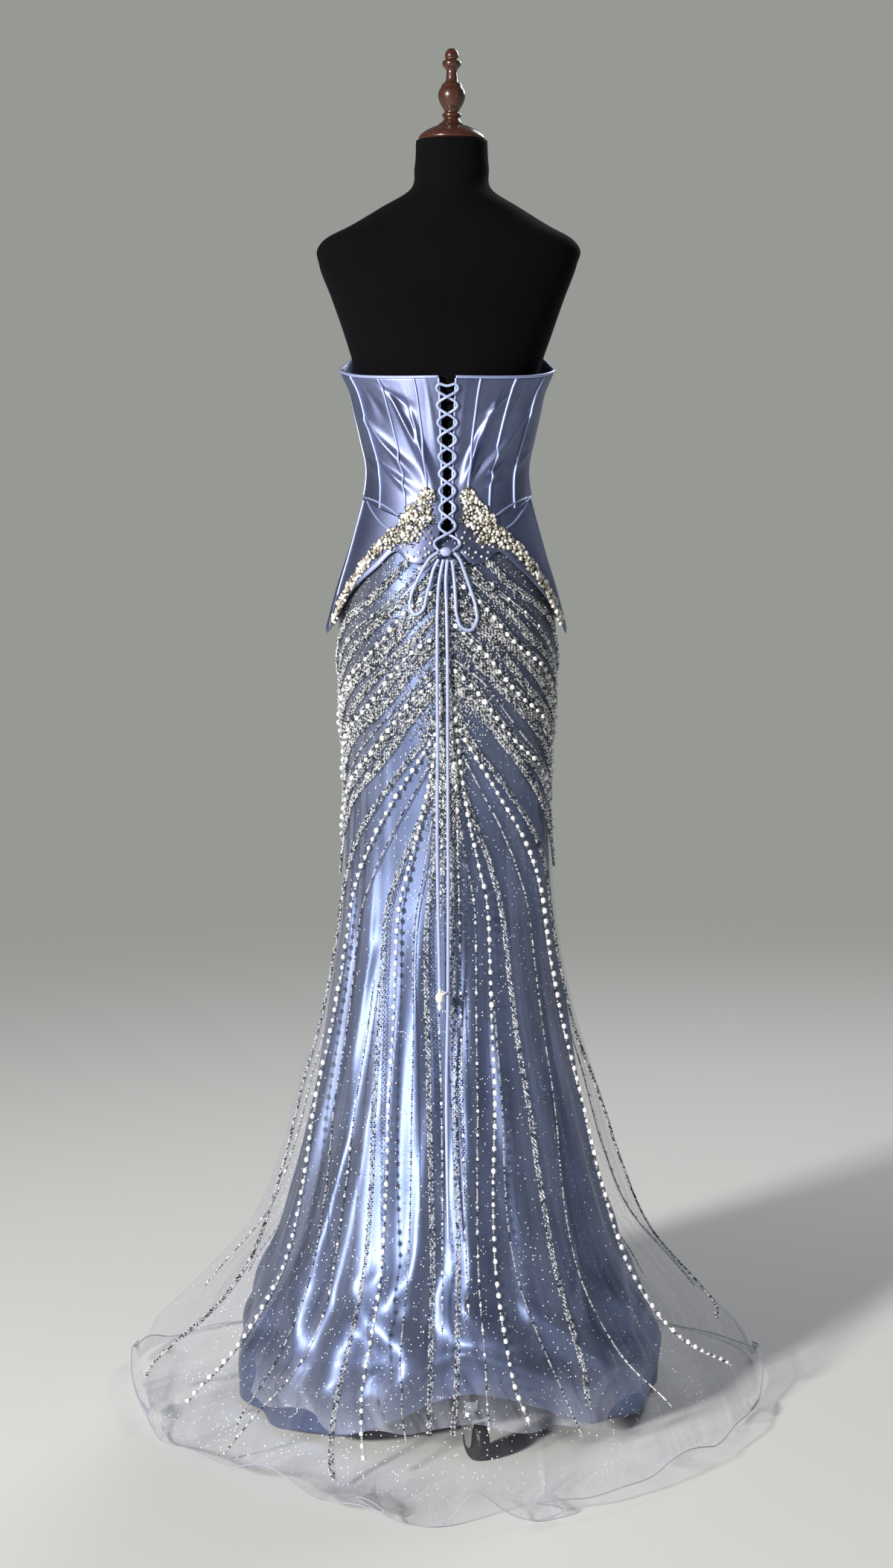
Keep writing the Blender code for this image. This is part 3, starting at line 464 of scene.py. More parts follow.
def net_surface(theta, row):
    """The net's sections pushed out by its folds, and raised off the floor at its ridges."""
    sizes = skirt_sizes(NET_SKIRT, row)
    growth = fold_growth(sizes["z"]) * np.clip(row - 2, 0, 1)
    on_floor = np.clip(1 - row / 3, 0, 1)
    raised = sum(height * np.maximum(bump(theta, math.radians(angle), RIDGE_SPREAD)
                                     - RIDGE_FOOT, 0)
                 for angle, height in zip(*TRAIN_RIDGES.values()))
    sizes["z"] = sizes["z"] + raised * on_floor
    return (oval(theta, **sizes)
            + outward(theta) * (folds_at(NET_FOLDS, theta) * growth)[..., None])


def row_at(z):
    """The net's row at a height above the floor rows."""
    return np.interp(z, NET_SKIRT["z"][2:], np.arange(2.0, len(NET_SKIRT["z"])))


def hang(x, z, least):
    """The point in front of the net where a cord hangs at x and z."""
    row = row_at(z)
    width = smooth(np.arange(float(len(NET_SKIRT["z"]))), NET_SKIRT["half_width"], row)
    on_net = net_surface(np.arcsin(x / width), row)[..., 1]
    return np.stack([x, np.minimum(least, on_net - HANG_CLEARANCE), z], axis=-1)


BOW_CORDS = {
    "bow_loop_left": sections("x z", [
        (-0.0128, 1.1400), (-0.0215, 1.1340), (-0.0300, 1.1216), (-0.0398, 1.1020),
        (-0.0470, 1.0830), (-0.0480, 1.0690), (-0.0410, 1.0600), (-0.0325, 1.0650),
        (-0.0270, 1.0830), (-0.0220, 1.1020), (-0.0165, 1.1216), (-0.0112, 1.1310)]),
    "bow_loop_right": sections("x z", [
        (0.0088, 1.1400), (0.0150, 1.1330), (0.0215, 1.1170), (0.0300, 1.0925),
        (0.0372, 1.0680), (0.0382, 1.0520), (0.0300, 1.0400), (0.0190, 1.0430),
        (0.0125, 1.0585), (0.0105, 1.0830), (0.0088, 1.1070), (0.0062, 1.1300)]),
    "bow_tail_left": sections("x z", [
        (-0.0050, 1.1308), (-0.0095, 1.1100), (-0.0125, 1.0700), (-0.0130, 1.0200),
        (-0.0125, 0.9000), (-0.0130, 0.7800), (-0.0115, 0.6600), (-0.0098, 0.5780)]),
    "bow_tail_right": sections("x z", [
        (0.0002, 1.1308), (-0.0018, 1.1100), (-0.0010, 1.0700), (0.0000, 1.0200),
        (0.0005, 0.9000), (0.0010, 0.7800), (0.0012, 0.6600), (0.0008, 0.5600),
        (-0.0010, 0.4500), (0.0000, 0.3500), (0.0015, 0.2720)])}


def closed_faces(rings, sides):
    """Faces of rings of points from the bottom up, which two more points close: one below
    the first ring, and then one above the last."""
    ring = np.arange(sides)
    return [grid_faces(rings, sides, round_it=True), fan(ring, rings * sides, False),
            fan(ring + (rings - 1) * sides, rings * sides + 1, True)]


# The knot: three turns of the cord pressed into an egg. Its radius is the egg's, plus a
# groove that follows the cosine of three turns down its height.
KNOT_RINGS, KNOT_SIDES = 40, 48
GROOVE = 0.10
turn, down = np.meshgrid(np.linspace(0, 2 * math.pi, KNOT_SIDES, endpoint=False),
                         np.linspace(0.001, math.pi - 0.001, KNOT_RINGS))
wraps = 1 + GROOVE * np.abs(np.cos(1.5 * down + 0.5 * np.sin(turn))) - GROOVE / 2
knot_points = KNOT + np.stack([KNOT_SIZE[0] * wraps * np.sin(down) * np.cos(turn),
                               KNOT_SIZE[1] * wraps * np.sin(down) * np.sin(turn),
                               KNOT_SIZE[2] * -np.cos(down)], axis=-1)
knot_poles = KNOT + np.array([[0, 0, -KNOT_SIZE[2]], [0, 0, KNOT_SIZE[2]]])
bow_knot = fill_mesh("bow_knot_wrap", np.concatenate([knot_points.reshape(-1, 3), knot_poles]),
                     closed_faces(KNOT_RINGS, KNOT_SIDES), rouleau_finish)
settle(bow_knot, "cord", "bow_knot")

# Loops and the tails' tops lie in front of the knot; the tails hang plumb off the hips.
near_knot = KNOT[1] - 0.0005
HIPS_HEIGHT = 1.05
bow_paths = {}
for name, table in BOW_CORDS.items():
    plumb = near_knot if "loop" in name else np.where(table["z"] < HIPS_HEIGHT, HIP_HANG,
                                                      near_knot)
    route = hang(table["x"], table["z"], plumb)
    bow_paths[name] = spline_through(route, 90 if "loop" in name else 160)

# Pearl drop on the left tail's end: one long pearl, a small one under it, and seed beads
# between them, threaded on a wire.
pearl_finish, tree, shader = new_material("cream_pearl")
layers = clouds(tree, coordinates(tree), 130.0, 1.0)
put(tree, shader, {"Base Color": two_tones(tree, layers, paint("#e9e0cb"), paint("#fbf7ee")),
                   "Roughness": rescaled(tree, layers, 0.12, 0.24),
                   "Specular IOR Level": 0.7, "Coat Weight": 0.4, "Coat Roughness": 0.08})


def ball(rings, sides):
    """A unit ball's points and triangles: rings of points between two poles."""
    down = np.linspace(0, math.pi, rings + 2)[1:-1]
    turn = ring_angles(sides)
    body = np.stack([np.sin(down)[:, None] * np.cos(turn), np.sin(down)[:, None] * np.sin(turn),
                     np.repeat(np.cos(down)[:, None], sides, axis=1)], axis=-1).reshape(-1, 3)
    points = np.concatenate([body, [[0, 0, 1], [0, 0, -1]]])
    i = np.arange(sides)
    k = (i + 1) % sides
    top, bottom, last = rings * sides, rings * sides + 1, (rings - 1) * sides
    faces = [np.stack([0 * i + top, i, k], axis=-1),
             np.stack([0 * i + bottom, last + k, last + i], axis=-1)]
    for j in range(rings - 1):
        a, b, c, d = j * sides + i, j * sides + k, (j + 1) * sides + k, (j + 1) * sides + i
        faces += [np.stack([a, c, b], axis=-1), np.stack([a, d, c], axis=-1)]
    return points, np.concatenate(faces)


def strew(name, shape, places, radii, finish, along=None, stretch=1.0, shades=None,
          rounded=True):
    """Copies of one small shape joined in a mesh: each is scaled by its radius, stretched
    along its thread's direction, and moved to its place. Shade is a value kept per bead."""
    points, faces = shape
    count, corners = len(places), len(points)
    radii = np.broadcast_to(radii, (count,))
    offsets = points[None] * radii[:, None, None]
    if along is not None:
        along = along / np.linalg.norm(along, axis=1, keepdims=True)
        lengthways = np.einsum("nvk,nk->nv", offsets, along)
        offsets = offsets + (stretch - 1) * lengthways[..., None] * along[:, None]
    joined = (places[:, None] + offsets).reshape(-1, 3)
    all_faces = (faces[None] + (np.arange(count) * corners)[:, None, None]).reshape(-1, 3)
    made = fill_mesh(name, joined, all_faces, finish, rounded=rounded)
    if shades is not None:
        layer = made.data.attributes.new("shade", "FLOAT", "POINT")
        layer.data.foreach_set("value", np.repeat(shades, corners).astype(np.float32))
    return made


drop_low, drop_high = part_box("pearl_drop")
drop_x, drop_y = (drop_low.x + drop_high.x) / 2, (drop_low.y + drop_high.y) / 2
DROP_BEADS = sections("below radius long", [
    (0.0016, 0.0023, 1.0), (0.0052, 0.0022, 1.0), (0.0122, 0.0058, 1.25),
    (0.0196, 0.0016, 1.0), (0.0242, 0.0032, 1.3), (0.0281, 0.0012, 1.0)])
ball_points, ball_faces = ball(11, 20)
drop_points = [np.array([drop_x, drop_y, drop_high.z - below])
               + radius * ball_points * np.array([1, 1, long])
               for below, radius, long in zip(*DROP_BEADS.values())]
# Nine seed beads cluster beside the joint, each strayed a little from the same spot.
cluster = np.random.default_rng(4)
cluster_at = np.array([drop_x + 0.004, drop_y - 0.0035, drop_high.z - 0.0055])
for _ in range(9):
    drop_points.append(cluster_at + cluster.normal(0, 0.0014, 3) + 0.0011 * ball_points)
drop_faces = np.concatenate([ball_faces + n * len(ball_points) for n in range(len(drop_points))])
pearl_drop = fill_mesh("pearl_drop_beads", np.concatenate(drop_points), drop_faces, pearl_finish)
settle(pearl_drop, "pearl", "pearl_drop")

for name, path in bow_paths.items():
    piece = round_cord(name + "_cord", path, TAIL_DIAMETER, rouleau_finish)
    settle(piece, "cord", name)


# ---- Dress form ----
# A limbless torso, padded and covered in black velvet. The cover has a seam down the centre
# back and one down the centre front, each drawn in to a shallow groove.
FORM = sections("z half_width y_back y_front lean", [
    (0.935, 0.1300, -0.1080, 0.0950, 0.000), (0.960, 0.1355, -0.1140, 0.1000, 0.000),
    (1.040, 0.1395, -0.1205, 0.1060, 0.000), (1.100, 0.1300, -0.1115, 0.1025, 0.000),
    (1.165, 0.1130, -0.0925, 0.0940, 0.000), (1.248, 0.1000, -0.0800, 0.0880, 0.000),
    (1.290, 0.1060, -0.0830, 0.0980, 0.000), (1.340, 0.1150, -0.0885, 0.1100, 0.000),
    (1.380, 0.1235, -0.0930, 0.1140, 0.000), (1.430, 0.1395, -0.0945, 0.1060, 0.001),
    (1.480, 0.1570, -0.0945, 0.0960, 0.001), (1.525, 0.1735, -0.0925, 0.0850, 0.001),
    (1.545, 0.1765, -0.0890, 0.0790, 0.002), (1.559, 0.1650, -0.0850, 0.0730, 0.002),
    (1.575, 0.1350, -0.0800, 0.0670, 0.003), (1.601, 0.0920, -0.0710, 0.0590, 0.004),
    (1.622, 0.0575, -0.0600, 0.0530, 0.005), (1.655, 0.0500, -0.0505, 0.0495, 0.006),
    (1.690, 0.0480, -0.0480, 0.0480, 0.006)])


SEAM_DEPTH = 0.0007
SEAM_SPREAD = 0.012


def form_cover(theta, z):
    """The form's sections pushed out over the cups, with a shallow groove at each seam."""
    seams = sum(bump(theta, angle, SEAM_SPREAD) for angle in (0, math.pi))
    return (oval(theta, z, **sizes_at(FORM, z))
            + outward(theta) * (bust(theta, z) - SEAM_DEPTH * seams)[..., None])


# Velvet: a short upright cut pile. It looks black from the front and shines a little grey
# where it is seen along the pile, which sheen gives.
velvet_finish, tree, shader = new_material("black_velvet")
where = coordinates(tree)
pile, brushed = clouds(tree, where, 900.0, 2.0), clouds(tree, where, 9.0, 3.0)
put(tree, shader, {"Base Color": two_tones(tree, brushed, paint("#020203"), paint("#0b0b0e")),
                   "Roughness": 0.95, "Sheen Weight": 0.09, "Sheen Roughness": 0.35,
                   "Sheen Tint": paint("#7c808e"), "Specular IOR Level": 0.1,
                   "Normal": dents(tree, pile, 0.5, 0.0006)})

# Its rows stand closer over the shoulders and neck. Rings near each end's middle close it.
SHOULDERS = 1.50
form_theta = np.linspace(0, 2 * math.pi, 160, endpoint=False)
form_z = np.concatenate([np.linspace(FORM["z"][0], SHOULDERS, 62)[:-1],
                         np.linspace(SHOULDERS, FORM["z"][-1], 46)])
cover = form_cover(*np.meshgrid(form_theta, form_z))
ends = cover[[0, -1]].mean(axis=1)
inset = [ends[:1, None] + (cover[:1] - ends[:1, None]) * share for share in (0.1, 0.6, 0.95)]
outset = [ends[1:, None] + (cover[-1:] - ends[1:, None]) * share for share in (0.95, 0.6, 0.1)]
cover = np.concatenate([*inset, cover, *outset])
torso = fill_mesh("velvet_torso", np.concatenate([cover.reshape(-1, 3), ends]),
                  closed_faces(len(cover), len(form_theta)), velvet_finish)
settle(torso, "velvet", "form_torso")


# ---- Neck cap and finial ----
# A flat cap closes the neck and a tall spindle stands on it. Both are turned from walnut on
# a lathe, stained brown and varnished to a soft shine.
walnut_finish, tree, shader = new_material("varnished_walnut")
along_grain = stretched(tree, coordinates(tree), 1.0, 1.0, 0.08)
bands = clouds(tree, along_grain, 260.0, 4.0, Roughness=0.65)
pores = clouds(tree, along_grain, 1400.0, 1.0)
put(tree, shader, {"Base Color": two_tones(tree, bands, paint("#1c0c06"), paint("#5b3220")),
                   "Roughness": rescaled(tree, bands, 0.24, 0.36),
                   "Normal": dents(tree, pores, 0.12, 0.0003),
                   "Coat Weight": 0.5, "Coat Roughness": 0.12})


def turned(name, profile, centre, sides, finish):
    """A profile of (radius, height) from the top down, rounded and turned round an axis."""
    outline = np.array([(radius, 0.0, height) for radius, height in profile])
    fine = spline_through(outline, 8 * len(profile))[1:-1]
    fine[:, 0] = np.maximum(fine[:, 0], 0.00005)
    turn = ring_angles(sides)
    rings = np.stack([fine[::-1, 0, None] * np.sin(turn), -fine[::-1, 0, None] * np.cos(turn),
                      np.repeat(fine[::-1, 2, None], sides, axis=1)], axis=-1)
    poles = [(0, 0, profile[-1][1]), (0, 0, profile[0][1])]
    points = np.concatenate([rings.reshape(-1, 3), poles]) + np.array(centre)
    return fill_mesh(name, points, closed_faces(len(fine), sides), finish)


cap_low, cap_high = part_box("neck_cap")
axis_x, axis_y = (cap_low.x + cap_high.x) / 2, (cap_low.y + cap_high.y) / 2
neck_cap = turned("walnut_neck_cap", [
    (0, 0.0205), (0.0200, 0.0200), (0.0300, 0.0160), (0.0390, 0.0105), (0.0435, 0.0062),
    (0.0448, 0.0030), (0.0435, 0.0002), (0.0380, 0.0), (0, 0)],
    (axis_x, axis_y, cap_low.z), 72, walnut_finish)
FINIAL_HEIGHT = 0.1040
finial_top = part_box("finial")[1].z
finial = turned("walnut_finial", [
    (0, FINIAL_HEIGHT), (0.0048, 0.1029), (0.0082, 0.0985), (0.0093, 0.0935), (0.0084, 0.0890),
    (0.0120, 0.0862), (0.0126, 0.0824), (0.0112, 0.0792), (0.0078, 0.0756), (0.0075, 0.0664),
    (0.0088, 0.0590), (0.0132, 0.0552), (0.0142, 0.0520), (0.0168, 0.0478), (0.0181, 0.0416),
    (0.0172, 0.0346), (0.0140, 0.0265), (0.0104, 0.0205), (0.0096, 0.0176), (0.0126, 0.0156),
    (0.0126, 0.0120), (0.0102, 0.0100), (0.0116, 0.0070), (0.0150, 0.0036), (0.0186, 0.0006),
    (0.0150, 0.0004), (0, 0.0004)],
    (axis_x, axis_y, finial_top - FINIAL_HEIGHT), 44, walnut_finish)
settle(neck_cap, "wood", "neck_cap")
settle(finial, "wood", "finial")


# ---- Stand ----
# A steel pole in a cast hub, with three pressed steel legs on swivel casters. The metal is
# nickel plated, and the wheels are hard black rubber.
nickel_finish, tree, shader = new_material("nickel_plated_steel")
wear = clouds(tree, coordinates(tree), 60.0, 4.0)
put(tree, shader, {"Base Color": two_tones(tree, wear, paint("#a9abad"), paint("#e2e2e0")),
                   "Metallic": 1.0, "Roughness": rescaled(tree, wear, 0.14, 0.34)})
rubber_finish, tree, shader = new_material("black_rubber")
dust = clouds(tree, coordinates(tree), 180.0, 3.0)
put(tree, shader, {"Base Color": two_tones(tree, dust, paint("#0e0f12"), paint("#2b2c31")),
                   "Roughness": 0.5})
for node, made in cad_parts.items():
    stand_part = node in ("pole", "hub") or node.startswith(("leg_", "caster_fork_"))
    if stand_part or node.startswith("caster_wheel_"):
        for holder in made.material_slots:
            holder.material = nickel_finish if stand_part else rubber_finish


# ---- Satin skirt ----
# Seven gores of heavy blue satin, close to the knee and then flared in deep soft folds. The
# hem is lifted over the back caster and lies in small crumples where it meets the floor.
SATIN_SKIRT = sections("z half_width y_back y_front y_mid", [
    (0.010, 0.2680, -0.2080, 0.3000, 0.060), (0.055, 0.2640, -0.2030, 0.2900, 0.055),
    (0.130, 0.2450, -0.1920, 0.2680, 0.045), (0.220, 0.2200, -0.1750, 0.2320, 0.030),
    (0.320, 0.1930, -0.1530, 0.1900, 0.015), (0.420, 0.1710, -0.1310, 0.1540, 0.005),
    (0.520, 0.1560, -0.1140, 0.1240, 0.000), (0.620, 0.1420, -0.1040, 0.1080, 0.000),
    (0.720, 0.1370, -0.1030, 0.1030, 0.000), (0.830, 0.1345, -0.1120, 0.1040, 0.000),
    (0.930, 0.1410, -0.1210, 0.1080, 0.000), (1.030, 0.1440, -0.1262, 0.1120, 0.000),
    (1.095, 0.1355, -0.1178, 0.1085, 0.000), (1.160, 0.1190, -0.0990, 0.1005, 0.000)])
SATIN_FOLDS = sections("angle spread height", [
    (-160, 12, 0.014), (-132, 12, 0.011), (-104, 11, 0.014), (-76, 11, 0.012),
    (-50, 10, 0.018), (-27, 9, 0.014), (16, 9, 0.012), (36, 10, 0.018),
    (62, 11, 0.013), (90, 11, 0.012), (118, 12, 0.014), (146, 12, 0.012), (172, 12, 0.010)])
HEM_LIFT = 0.074
HEM_LIFT_ANGLE = math.radians(8)
HEM_LIFT_SPREAD = math.radians(26)
HEM_LIFT_REACH = 0.22
SATIN_WALL = 0.0012
SATIN_GAP = 0.0017
SATIN_GAP_GROWTH = 0.016
# Long creases between the main folds: where each runs, its width, depth and its two ends
SATIN_CREASES = sections("angle spread height top bottom", [
    (-66, 3.5, 0.0035, 0.80, 0.02), (-41, 3.0, 0.0050, 0.62, 0.05), (-35, 2.4, -0.0040, 0.50, 0),
    (-19, 3.0, 0.0040, 0.66, 0.10), (-9, 2.6, 0.0045, 0.52, 0.02), (-2, 2.2, -0.0035, 0.44, 0.0),
    (5, 2.6, 0.0040, 0.58, 0.04), (24, 3.0, 0.0050, 0.60, 0.02), (29, 2.2, -0.0035, 0.40, 0.0),
    (47, 3.0, 0.0045, 0.72, 0.06), (54, 2.6, -0.0035, 0.52, 0.0), (74, 3.4, 0.0040, 0.66, 0.03),
    (103, 3.4, 0.0040, 0.70, 0.02), (128, 3.0, 0.0045, 0.58, 0.05), (160, 3.2, 0.0040, 0.64, 0.0),
    (-88, 3.2, 0.0040, 0.62, 0.04), (-118, 3.2, 0.0045, 0.70, 0.02), (-147, 3.2, 0.0040, 0.60, 0),
    (-70, 5.5, 0.0036, 0.80, 0.02), (-57, 5, -0.0032, 0.76, 0.05), (-45, 5, 0.0050, 0.78, 0.03),
    (-24, 4.6, -0.0042, 0.66, 0.05), (-13, 4.4, 0.0046, 0.72, 0.04), (9, 4.4, 0.0045, 0.68, 0.04),
    (20, 4.6, -0.0040, 0.62, 0.05), (42, 5.0, 0.0050, 0.76, 0.03), (62, 5.0, 0.0044, 0.78, 0.04),
    (83, 5.5, 0.0040, 0.72, 0.03), (110, 5.5, 0.0044, 0.74, 0.03), (138, 5.5, -0.0034, 0.68, 0.04),
    (154, 5.5, 0.0044, 0.72, 0.03), (178, 5.5, 0.004, 0.66, 0.03), (-104, 5.5, 0.0042, 0.74, 0.03),
    (-132, 5.5, 0.0044, 0.70, 0.03), (-160, 5.5, -0.0034, 0.68, 0.04)])
# Short kinks where the cloth bends: place, tilt from upright, length, width and depth
SATIN_KINKS = sections("angle z tilt long wide height", [
    (-52, 0.700, 62, 0.022, 0.007, 0.0030), (-56, 0.640, -55, 0.020, 0.006, 0.0026),
    (-44, 0.600, 20, 0.045, 0.007, 0.0030), (38, 0.660, 18, 0.050, 0.008, 0.0028),
    (-30, 0.205, 38, 0.050, 0.010, 0.0030), (-48, 0.150, -35, 0.045, 0.010, 0.0035),
    (-62, 0.100, 55, 0.040, 0.010, 0.0030), (-22, 0.120, -42, 0.042, 0.009, 0.0030),
    (-12, 0.165, 30, 0.045, 0.009, 0.0027), (4, 0.190, -30, 0.050, 0.010, 0.0030),
    (16, 0.120, 45, 0.040, 0.010, 0.0030), (30, 0.150, -40, 0.050, 0.010, 0.0032),
    (45, 0.090, 50, 0.040, 0.011, 0.0035), (60, 0.160, -35, 0.045, 0.010, 0.0030),
    (80, 0.110, 42, 0.045, 0.010, 0.0030), (-85, 0.150, -40, 0.045, 0.010, 0.0030),
    (110, 0.120, 40, 0.045, 0.010, 0.0025), (-120, 0.120, -40, 0.045, 0.010, 0.0025),
    (150, 0.130, 38, 0.045, 0.010, 0.0025), (-155, 0.130, -38, 0.045, 0.010, 0.0025)])
# Broad crumples where the cloth breaks over the floor: angle, height, tilt and sizes
SATIN_BREAKS = sections("angle z tilt long wide height", [
    (-55, 0.175, 24, 0.080, 0.026, 0.014), (-38, 0.125, -34, 0.080, 0.030, 0.018),
    (-24, 0.150, 28, 0.085, 0.030, 0.019), (-11, 0.115, -38, 0.070, 0.026, 0.016),
    (3, 0.165, 20, 0.085, 0.028, 0.017), (15, 0.120, -32, 0.075, 0.028, 0.016),
    (30, 0.155, 30, 0.080, 0.030, 0.016), (45, 0.095, -44, 0.075, 0.028, 0.017),
    (-45, 0.300, 16, 0.090, 0.022, 0.008), (24, 0.290, -16, 0.090, 0.022, 0.008),
    (68, 0.170, 30, 0.075, 0.026, 0.010), (-80, 0.165, -30, 0.075, 0.026, 0.010),
    (96, 0.140, 34, 0.075, 0.028, 0.013), (-108, 0.155, -34, 0.075, 0.028, 0.013),
    (124, 0.170, -30, 0.080, 0.028, 0.014), (-136, 0.140, 36, 0.075, 0.028, 0.014),
    (152, 0.130, 38, 0.075, 0.028, 0.014), (-163, 0.165, -32, 0.080, 0.028, 0.014),
    (-63, 0.085, 68, 0.060, 0.022, 0.011), (-47, 0.060, -70, 0.065, 0.024, 0.013),
    (-33, 0.078, 62, 0.055, 0.020, 0.012), (-21, 0.058, -74, 0.060, 0.024, 0.013),
    (-8, 0.082, 66, 0.055, 0.020, 0.010), (20, 0.075, -66, 0.055, 0.022, 0.012),
    (35, 0.062, 70, 0.060, 0.024, 0.013), (54, 0.080, -64, 0.060, 0.022, 0.011),
    (82, 0.070, 68, 0.060, 0.024, 0.010), (112, 0.080, -66, 0.060, 0.022, 0.010),
    (140, 0.065, 70, 0.060, 0.024, 0.011), (170, 0.078, -64, 0.060, 0.022, 0.010),
    (-94, 0.075, -68, 0.060, 0.024, 0.010), (-124, 0.066, 66, 0.060, 0.022, 0.010),
    (-150, 0.078, -66, 0.060, 0.022, 0.011)])


ROUNDING = 0.05
CREST = 1.25


def ridge(place):
    """A ridge from -1 to 1 with nearly flat sides, as stiff satin folds: the rounded
    distance from each foot, averaged, less the rounded distance from the top, times what
    brings its crest to 1. A distance is rounded as the square root of its square and a
    little more."""
    before, after, here = (np.sqrt(distance * distance + ROUNDING)
                           for distance in (place - 1, place + 1, place))
    return CREST * ((before + after) / 2 - here)


CREASE_DRIFT = math.radians(2.5)
CREASE_FADE_ABOVE = 0.16
CREASE_FADE_BELOW = 0.05


def creases_at(table, theta, z):
    """Each crease is a ridge at its angle that drifts a little on its way down, faded in and
    out at its two ends. A narrow one is shallower."""
    total = 0 * theta
    for angle, spread, height, top, bottom in zip(*table.values()):
        ends = (np.clip((top - z) / CREASE_FADE_ABOVE, 0, 1)
                * np.clip((z - bottom) / CREASE_FADE_BELOW + 1, 0, 1))
        drift = CREASE_DRIFT * np.sin(9 * z + angle)
        turn = turn_past(theta - math.radians(angle), drift)
        total = total + (height * min(spread / 5, 1) * ridge(turn / math.radians(1.5 * spread))
                         * ends * ends * (3 - 2 * ends))
    return total


KINK_NARROWING = 0.55


def kinks_at(table, theta, z, radius):
    """Each kink is a ridge on the cloth, turned by its tilt. It fades along its length as a
    bell curve, and narrows on the way. The radius turns angles into metres."""
    total = 0 * theta
    for angle, height_up, tilt, long, wide, height in zip(*table.values()):
        sideways, up = turn_past(theta, math.radians(angle)) * radius, z - height_up
        lean = math.radians(tilt)
        run = sideways * math.sin(lean) + up * math.cos(lean)
        across = sideways * math.cos(lean) - up * math.sin(lean)
        width = wide * (1 - KINK_NARROWING * np.clip(run / long, -1, 1))
        total = total + height * np.exp(-(run / long) ** 2) * ridge(across / (1.4 * width))
    return total


# How much deeper than its table says each kind of relief is pressed.
FOLD_GAIN, CREASE_GAIN, KINK_GAIN = 1.25, 1.6, 1.1


def satin_relief(theta, z, half_width):
    """How far the satin stands out: its folds, long creases, kinks and floor crumples."""
    depth = FOLD_GAIN * folds_at(SATIN_FOLDS, theta) * fold_growth(z)
    depth = depth + CREASE_GAIN * creases_at(SATIN_CREASES, theta, z)
    depth = depth + KINK_GAIN * kinks_at(SATIN_KINKS, theta, z, 0.6 * half_width + 0.05)
    return depth + kinks_at(SATIN_BREAKS, theta, z, 0.8 * half_width)


def clear_of_net(surface, theta, gap):
    """Moves cloth inwards wherever it comes closer than a gap to the net outside it."""
    net = net_surface(theta, row_at(surface[..., 2]))
    room = ((net - surface) * outward(theta)).sum(axis=-1)
    return surface - outward(theta) * np.clip(gap - room, 0, None)[..., None]


def satin_surface(theta, row):
    """The satin's sections pushed out by its relief, with its hem lifted at the caster."""
    sizes = skirt_sizes(SATIN_SKIRT, row)
    z = sizes["z"]
    depth = satin_relief(theta, z, sizes["half_width"])
    near_hem = np.clip(1 - z / HEM_LIFT_REACH, 0, 1) ** 1.3
    sizes["z"] = z + HEM_LIFT * near_hem * bump(theta, HEM_LIFT_ANGLE, HEM_LIFT_SPREAD)
    surface = oval(theta, **sizes) + outward(theta) * depth[..., None]
    return clear_of_net(surface, theta, SATIN_GAP + SATIN_GAP_GROWTH * fold_growth(z))


def cloth(name, points, finish, thickness=0.0, round_it=False):
    """Cloth from a grid (rows, columns, 3), with four edges or closed round into a tube. Its
    UV is metres across and up the cloth, and its wall, if it has one, grows inwards."""
    rows, columns = points.shape[:2]
    wide = np.concatenate([points, points[:, :1]], axis=1) if round_it else points
    u, v = run_of(wide, axis=1), run_of(wide)
    if round_it:
        u = u.mean(axis=0)[None].repeat(rows, axis=0)
    pair = np.stack([u, v], axis=-1)
    corners = np.stack([pair[:-1, :-1], pair[:-1, 1:], pair[1:, 1:], pair[1:, :-1]], axis=2)
    made = fill_mesh(name, points.reshape(-1, 3), grid_faces(rows, columns, round_it), finish,
                     uv=corners.reshape(-1, 2))
    if thickness:
        wall = made.modifiers.new("wall", "SOLIDIFY")
        wall.thickness = thickness
        wall.offset = -1
    return made


def maths(tree, operation, *values, **settings):
    """The result of one sum on its values."""
    return add(tree, "ShaderNodeMath", {"operation": operation, **settings},
               dict(enumerate(values))).outputs[0]


def gores(kind):
    """The seven gores of a skirt: three on each side and one in front."""
    return [f"{kind}_{gore}_{side}" for gore in ("back", "side_back", "side_front")
            for side in ("left", "right")] + [f"{kind}_front"]


# Duchess satin: long warp floats lie side by side, so light slides down them in a bright
# band, narrow across the cloth and long up it. The thread grain is drawn at 0.8 mm,
# coarser than real, so that it shows at all.
def satin_cloth(name, dark, light, roughness, metal=0.92, stretch=0.40):
    """Blue satin between two shades, with fine thread grain that runs up the cloth. The
    stretch is how much longer its highlights are up the cloth than across it."""
    made, tree, shader = new_material(name)
    grain = clouds(tree, stretched(tree, coordinates(tree, "UV"), 1250.0, 160.0, 1.0), 1.0, 2.0)
    blend = maths(tree, "MULTIPLY_ADD", grain, 0.5, clouds(tree, coordinates(tree), 14.0, 2.0))
    along = add(tree, "ShaderNodeTangent", {"direction_type": "UV_MAP"})
    put(tree, shader, {"Anisotropic": stretch, "Anisotropic Rotation": 0.25,
                       "Tangent": along.outputs[0],
                       "Base Color": two_tones(tree, blend, paint(dark), paint(light)),
                       "Roughness": rescaled(tree, grain, roughness - 0.05, roughness + 0.07),
                       "Normal": dents(tree, grain, 0.20, 0.0003), "Metallic": metal,
                       "Specular IOR Level": 0.80, "Coat Weight": 0.15,
                       "Coat Roughness": 0.30})
    return made


skirt_satin = satin_cloth("duchess_satin", "#27365a", "#7988b0", 0.46, stretch=0.42)
satin_rows = np.concatenate([np.linspace(0, 3, 52)[:-1], np.linspace(3, 13, 74)])
satin_turn = np.linspace(0, 2 * math.pi, 280, endpoint=False)
satin_points = satin_surface(*np.meshgrid(satin_turn, satin_rows))
satin_skirt = cloth("satin_skirt", satin_points, skirt_satin, SATIN_WALL, round_it=True)
settle(satin_skirt, "satin", *gores("satin"))


